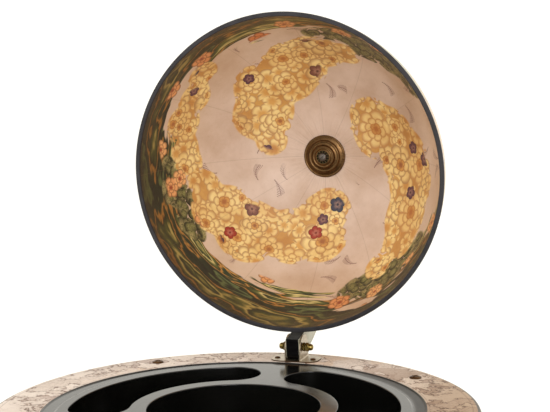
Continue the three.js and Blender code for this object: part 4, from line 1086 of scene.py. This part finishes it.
def make_pole_fitting():
    cone_low, cone_high = onto_sphere(lining_inner, fitting_radius), onto_sphere(lining_inner, pole_hole)
    face = cone_low - fit_gap
    back = cone_high - fit_gap
    steps = [(30, 0.0), (30, 1.4), (29.2, 2.2), (28.2, 2.4), (27.2, 1.9), (26.2, 2.4), (24.6, 3.0),
             (23.2, 3.3),
             (22.5, 4.6), (21.8, 5.5), (20.6, 5.9), (19.4, 5.2), (18.2, 5.6), (16.6, 6.1), (15.9, 7.6),
             (15.2, 8.9), (14.2, 9.3), (13.0, 8.7), (11.8, 9.2), (10.4, 10.4), (8.6, 10.4)]
    outline = [(r * mm, face - h * mm) for r, h in steps]
    outline = [(pole_hole, back)] + outline + [(pole_hole, face - fitting_height)]
    rosette = turned(rounded(outline, 0.9 * mm, 4, True), 144, True)
    finished("rosette_rings", rosette, "lid", ["rosette"], bronze, 30, lid_place)

    washer_face = face - fitting_height - fit_gap
    outer, inner, thick, teeth = 9 * mm, 7 * mm, 0.8 * mm, 12
    disc = [(pole_hole, 0), (outer, 0), (outer, -0.3 * mm), (inner, -0.4 * mm), (inner, -thick),
            (pole_hole, -thick)]
    disc = turned(rounded(disc, 0.15 * mm, 2, True), 72, True)
    width, root = math.pi * inner / teeth, 6.4 * mm
    tooth = [(root, -width * 0.3, 0), (outer, -width * 0.3, -0.1 * mm), (outer, width * 0.24, 0.0),
             (root, width * 0.2, 0)]
    blade = skinned([tooth, [(x, y, z - thick) for x, y, z in tooth]])
    washer_mesh = joined_meshes(disc, around(blade, teeth, 0.0))
    moved(washer_mesh, z=washer_face)
    piece = finished("star_washer_teeth", washer_mesh, "lid", ["star_washer"],
                     washer_bronze, 30, lid_place)
    # The disc under the teeth takes the near-black finish: painted shade between the teeth.
    second_finish(piece, washer_recess, range(len(disc.polygons)))

    head_top = washer_face - thick - fit_gap
    finial_base = onto_sphere(meridian_outer, meridian_over) + fit_gap
    thread_in_finial = 11.7 * mm
    length = finial_base + thread_in_finial - head_top
    head_radius, head_height, slot_width, slot_depth = 5.6 * mm, 3.4 * mm, 1.9 * mm, 1.8 * mm
    bolt = screw_mesh(head_radius, head_height, bolt_radius, length, 1, slot_width, slot_depth, 0.35)
    bolt.transform(Matrix.Translation((0, 0, head_top)) @ Matrix.Rotation(math.pi, 4, "X"))
    finished("pole_screw", bolt, "lid", ["rosette_screw"], dull_steel, 30, lid_place)

    seat_low, seat_high = onto_sphere(globe_radius, fitting_radius), onto_sphere(globe_radius, pole_hole)
    spacer_radius = 13 * mm
    rise = seat_high - (seat_high - seat_low) * (spacer_radius - pole_hole) / (fitting_radius - pole_hole)
    top = onto_sphere(meridian_inner, meridian_over) - fit_gap
    spacer = [(pole_hole, seat_high + fit_gap), (spacer_radius, rise + fit_gap), (spacer_radius, top),
              (pole_hole, top)]
    spacer = turned(rounded(spacer, 0.8 * mm, 4, True), 72, True)
    finished("pole_spacer_turned", spacer, "lid", ["pole_spacer"], stand_wood, 35, lid_place)

    radii = (12, 12, 7, 5, 8, 11, 12, 11, 7.4, 3.6)
    heights = (0, 3, 5.2, 8.9, 11.8, 15.9, 21.1, 25.9, 31.1, 35.2)
    socket, finial_height = 12 * mm, 37 * mm
    finial = [(0.0, finial_base + socket), (pole_hole, finial_base + socket), (pole_hole, finial_base)]
    finial += [(r * mm, finial_base + h * mm) for r, h in zip(radii, heights)]
    finial.append((0.0, finial_base + finial_height))
    finial = turned(rounded(finial, 2.6 * mm, 5), 72)
    finished("finial_turned", finial, "lid", ["lid_finial"], bright_brass, 40, lid_place)


# Hinge

def side_plate(outline, low, high):
    """A plate drawn in (y, z) and thick along x."""
    return skinned([[(x, y, z) for y, z in outline] for x in (low, high)])


def floor_plate(outline, low, high):
    """A plate drawn in (x, y) and thick along z."""
    mesh = side_plate(outline, low, high)
    mesh.transform(Matrix(((0, 1, 0, 0), (0, 0, 1, 0), (1, 0, 0, 0), (0, 0, 0, 1))))
    return outward(mesh)


def make_bracket():
    wall, ear_inner = 1.5 * mm, 9 * mm
    ear_outer = ear_inner + wall
    middle, radius = hinge_back + 6 * mm, 18 * mm
    front, back = ring_inner + 1.4 * mm, middle + radius
    reach, foot_round = 32 * mm, 17 * mm
    foot = rounded(box(-reach, front, reach, back), foot_round, 12, True)
    parts = [floor_plate(foot, ring_top, ring_top + wall)]
    low_edge, inset = ring_top + 0.1 * mm, 0.2 * mm
    ear = [(middle - radius, low_edge), (back, low_edge)]
    ear += arc(middle, hinge_axis - 3 * mm, radius, 0, math.pi, 40)
    for side in (-1, 1):
        low, high = sorted((side * ear_inner, side * ear_outer))
        parts.append(side_plate(ear, low, high))
        fold = 1.6 * mm
        seam = [(side * (ear_outer - inset), ring_top + wall - inset),
                (side * (ear_outer + fold), ring_top + wall - inset)]
        seam += [(side * (ear_outer + fold * (1 - math.sin(a))), ring_top + wall + fold * (1 - math.cos(a)))
                 for a in (math.pi / 2 * i / 6 for i in range(7))]
        seam.append((side * (ear_outer - inset), ring_top + wall + fold))
        strip = side_plate(seam, middle - radius + 0.4 * mm, back - 0.4 * mm)
        strip.transform(Matrix(((0, 1, 0, 0), (1, 0, 0, 0), (0, 0, 1, 0), (0, 0, 0, 1))))
        parts.append(outward(strip))
    centre_y = hinge_back - hinge_back * math.cos(lid_open) + (lid_rim - hinge_axis) * math.sin(lid_open)
    centre_z = hinge_axis + hinge_back * math.sin(lid_open) + (lid_rim - hinge_axis) * math.cos(lid_open)
    lip_top = centre_z - math.sqrt(meridian_outer ** 2 - (back - wall - centre_y) ** 2) - 0.4 * mm
    parts.append(side_plate(box(back - wall, low_edge, back, lip_top), -ear_outer, ear_outer))
    piece = finished("bracket_plate", joined_meshes(*parts), "stand", ["hinge_bracket"],
                     bracket_steel, 40)
    # The foot plate's narrow edge faces take the dark brass finish: painted shade along the foot's edges.
    foot_faces = piece.data.polygons[:len(foot) + 2]
    second_finish(piece, dark_brass, [face.index for face in foot_faces if abs(face.normal.z) < 0.5])
    bevelled(piece, 0.3 * mm, 3)

    def across(mesh, start, side=1):
        mesh.transform(Matrix.Translation((0, hinge_back, hinge_axis))
                       @ Matrix.Rotation(side * math.pi / 2, 4, "Y") @ Matrix.Translation((0, 0, start)))
        return mesh

    start, lock, past = ear_outer + fit_gap, 3.2 * mm, 5 * mm
    shaft = rounded(box(0, -start - past, bolt_radius, start + lock + past), 0.3 * mm, 2)
    finished("hinge_shaft", across(turned(shaft, 48), 0), "stand", ["hinge_bolt"], plain_steel)
    cap_nut, screw_place = (4.6 * mm, 5.8 * mm), 24 * mm
    for name, height, dome, base, side in (("lock_nut", lock, 0.0, start, 1),
                                           ("cap_nut_right", *cap_nut, start + lock + fit_gap, 1),
                                           ("cap_nut_left", *cap_nut, start, -1)):
        nut = across(nut_mesh(nut_flats, height, nut_bore, dome), base, side)
        finished(name, nut, "stand", ["hinge_" + name], old_brass, 30)
    for side, name in ((-1, "left"), (1, "right")):
        head = screw_mesh(3.6 * mm, 1.8 * mm, 1.7 * mm, 14 * mm, 2, 0.9 * mm, 0.8 * mm)
        moved(head, side * screw_place, hinge_back, ring_top + wall)
        finished("bracket_screw_head_" + name, head, "stand", ["bracket_screw_" + name],
                 dark_brass, 30)


def meridian_outline():
    end_height, end_round, over = 7.6 * mm, 7.5 * mm, meridian_over
    centre = (onto_sphere(meridian_outer - end_round, end_height + end_round), end_height + end_round)
    end = math.atan2(centre[1], centre[0])
    return (arc(*centre, end_round, -math.pi / 2, end, 16)
            + arc(0, 0, meridian_outer, end, math.acos(over / meridian_outer), 110)[1:]
            + [(-over, onto_sphere(meridian_outer, over)), (-over, onto_sphere(meridian_inner, over))]
            + arc(0, 0, meridian_inner, math.acos(over / meridian_inner),
                  math.asin(end_height / meridian_inner), 110))


def make_meridian():
    outline = meridian_outline()
    bar = side_plate(outline, -meridian_half, meridian_half)
    bar = finished("meridian_wood", bar, "lid", ["meridian_bar"], black_board, 40, lid_place)
    bevelled(bar, 0.6 * mm, 3)
    for side, name in ((-1, "left"), (1, "right")):
        low, high = sorted((side * (meridian_half + fit_gap), side * (meridian_half + fit_gap + scale_wall)))
        sheet = side_plate(outline, low, high)
        keep_place(sheet)
        finished("meridian_sheet_" + name, sheet, "lid", ["meridian_print_" + name],
                 scale_print, 40, lid_place)
    reach = meridian_half + fit_gap + scale_wall
    bush = turned(box(3.3 * mm, -reach, 4.3 * mm, reach), 48, True)
    bush.transform(Matrix.Translation((0, hinge_back, hinge_axis - lid_rim))
                   @ Matrix.Rotation(math.pi / 2, 4, "Y"))
    finished("bush_sleeve", bush, "lid", ["hinge_bush"], old_brass, 40, lid_place)


# Stand

def make_stand():
    radii = (21, 21, 15, 19, 15, 12, 17, 21, 19, 12.5, 16, 13, 16, 20, 20)
    shares = (0, 0.1, 0.112, 0.135, 0.158, 0.175, 0.3, 0.45, 0.62, 0.78, 0.8, 0.83, 0.86, 0.88, 1)
    length = ring_bottom - shelf_lip
    leg = [(r * mm, shelf_lip + length * s) for r, s in zip(radii, shares)]
    leg = [(0, shelf_lip)] + leg + [(0, ring_bottom)]
    mesh = at_legs(turned(rounded(leg, 26 * mm, 8), 56))
    finished("legs_turned", mesh, "stand", numbered("leg"), stand_wood, 32)

    head = screw_mesh(7.2 * mm, 3 * mm, 3 * mm, 61 * mm, 2, 2.6 * mm, 1.7 * mm, 0.2)
    mesh = at_legs(moved(head, z=ring_top))
    finished("leg_bolt_heads", mesh, "stand", numbered("leg_bolt"), dark_brass, 30)

    margin = 4 * mm
    lip, edge = leg_circle - leg_reach - margin, leg_circle + leg_reach + margin
    step_in, step_up = edge - 3 * mm, shelf_bottom + 3 * mm
    shelf = [(0, shelf_bottom), (step_in, shelf_bottom), (step_in, step_up), (edge, step_up),
             (edge, shelf_lip), (lip, shelf_lip), (lip, 0), (0, 0)]
    outline = [shelf[0]]
    for i in range(1, len(shelf) - 1):
        outline += rounded(shelf[i - 1:i + 2], 5 * mm if i == 4 else 0.8 * mm, 5)[1:-1]
    outline.append(shelf[-1])
    finished("shelf_board", turned(outline, 160), "stand", ["lower_shelf"], shelf_wood, 35)

    top, height = shelf_bottom, foot_height
    foot = [(0, top)]
    for r, s in zip((20, 20, 13, 22, 24, 21, 14, 12), (0, 0.14, 0.22, 0.45, 0.6, 0.78, 0.92, 1)):
        foot.append((r * mm, top - height * s))
    socket_bore, socket_top = 5.9 * mm, top - height + socket_depth + fit_gap
    foot += [(socket_bore, top - height), (socket_bore, socket_top), (0, socket_top)]
    mesh = at_legs(turned(rounded(foot, 9 * mm, 7), 56))
    finished("feet_turned", mesh, "stand", numbered("foot"), stand_wood, 32)

    hanger_low, hanger_high = top - 12 * mm, 32 * mm
    bolt = turned(rounded(box(0, hanger_low, bolt_radius, hanger_high), 0.4 * mm, 2), 32)
    finished("hanger_bolts_round", at_legs(bolt), "stand",
             numbered("hanger_bolt"), plain_steel)

    bottom = top - height
    bore, tube, flange = 4.4 * mm, 5.6 * mm, 9.2 * mm
    flange_low, tube_top = bottom - socket_flange, bottom + socket_depth
    sleeve = rounded([(bore, flange_low), (flange, flange_low), (flange, bottom), (tube, bottom),
                      (tube, tube_top), (bore, tube_top)], 0.5 * mm, 3, True)
    finished("socket_sleeves", at_legs(turned(sleeve, 48, True)), "stand",
             numbered("caster_socket"), bright_brass)

    pole = bowl_centre - globe_radius - fit_gap
    inside = bowl_centre - globe_radius + shell_wall + 2 * fit_gap
    cap = rounded([(0, pole - 16 * mm), (6.3 * mm, pole - 16 * mm), (9.5 * mm, pole - 9.6 * mm),
                   (15.2 * mm, pole - 6.4 * mm), (19 * mm, pole - 3.2 * mm), (19 * mm, pole), (3 * mm, pole),
                   (3 * mm, inside + 7 * mm), (0, inside + 7 * mm)], 2 * mm, 5)
    finished("bowl_cap", turned(cap, 72), "stand", ["south_cap"], bright_brass, 40)
    nut_height = 5 * mm
    nut = moved(nut_mesh(nut_flats, nut_height, nut_bore), z=inside)
    finished("bowl_nut", nut, "stand", ["south_nut"], plain_steel, 30)


# Casters

def make_casters():
    crown_top = shelf_bottom - foot_height - socket_flange - fit_gap
    crown_bottom = crown_top - 3 * mm
    wheel_radius, trail = 20 * mm, 14 * mm
    clearance = 3 * mm
    axle = crown_bottom - clearance - wheel_radius
    arm_inner, wall, half = 8.3 * mm, 2 * mm, 7 * mm
    arm_outer = arm_inner + wall
    stem = turned(rounded(box(0, crown_bottom, 4 * mm, crown_top + socket_depth), 0.8 * mm, 3), 40)
    crown = rounded(box(-arm_outer, -half, arm_outer, trail + half), 2.4 * mm, 5, True)
    crown = floor_plate(crown, crown_bottom, crown_top)
    outline = arc(trail, axle, half, math.pi, 2 * math.pi, 20) + [(trail + half, crown_top - 0.4 * mm),
                                                                 (-half, crown_top - 0.4 * mm),
                                                                 (-half, crown_bottom - 3 * mm)]
    arms = [side_plate(outline, *sorted((s * arm_inner, s * arm_outer))) for s in (-1, 1)]
    fork = joined_meshes(stem, crown, *arms)

    def across(mesh):
        mesh.transform(Matrix.Translation((0, trail, axle)) @ Matrix.Rotation(math.pi / 2, 4, "Y"))
        return outward(mesh)

    head, end = arm_outer + fit_gap, arm_outer + fit_gap + 1.5 * mm
    thin, wide = bolt_radius, 4.5 * mm
    pin = rounded([(0, -end), (wide, -end), (wide, -head), (thin, -head), (thin, head), (wide, head),
                   (wide, end), (0, end)], 0.6 * mm, 3)
    pin = across(turned(pin, 40))
    bore, face = 3.3 * mm, 8 * mm
    side = [(bore, face), (9.2 * mm, face), (11.2 * mm, face - 2 * mm), (17 * mm, face - 1 * mm),
            (wheel_radius, face - 3 * mm)]
    wheel = [(r, -z) for r, z in side] + side[::-1]
    wheel = across(turned(rounded(wheel, 1.4 * mm, 4, True), 72, True))
    for i in range(leg_count):
        angle = leg_first + 2 * math.pi * i / leg_count
        spot = Matrix.Translation((leg_circle * math.cos(angle), leg_circle * math.sin(angle), 0))
        number = i + 1
        bevelled(finished(f"fork_{number}", fork.copy(), f"caster_{number}",
                          [f"caster_fork_{number}"], bright_brass, 35, spot), 0.3 * mm, 2)
        finished(f"axle_{number}", pin.copy(), f"caster_{number}", [f"caster_axle_{number}"],
                 plain_steel, 35, spot)
        finished(f"wheel_turned_{number}", wheel.copy(), f"wheel_{number}",
                 [f"caster_wheel_{number}"], wheel_black, 35, spot)


make_ring()
make_tray()
make_globe()
make_pole_fitting()
make_bracket()
make_meridian()
make_stand()
make_casters()


# Studio

def make_studio():
    reach = 40
    corners = [(x, y, 0) for x, y in box(-reach, -reach, reach, reach)]
    floor = raw_object("floor", corners, [(0, 1, 2, 3)])
    floor.location.z = cad_low.z
    floor.data.materials.append(floor_finish())
    world = bpy.data.worlds.new("studio")
    world.use_nodes = True
    sky = world.node_tree.nodes["Background"]
    sky.inputs["Color"].default_value = (1, 0.965, 0.88, 1)
    sky.inputs["Strength"].default_value = 1.2
    bpy.context.scene.world = world
    lamps = ("key", (1.1, -2.3, 1.35), 1.0, 29), ("fill", (-2.0, -1.4, 2.2), 1.5, 16)
    for name, place, size, power in lamps:
        data = bpy.data.lights.new(name, "AREA")
        data.size, data.energy = size, power
        lamp = bpy.data.objects.new(name, data)
        aim = Vector((0, 0.1, 0.65)) - Vector(place)
        lamp.matrix_world = Matrix.Translation(place) @ aim.to_track_quat("-Z", "Y").to_matrix().to_4x4()
        bpy.context.scene.collection.objects.link(lamp)
    bpy.context.scene.view_settings.view_transform = "Standard"


make_studio()
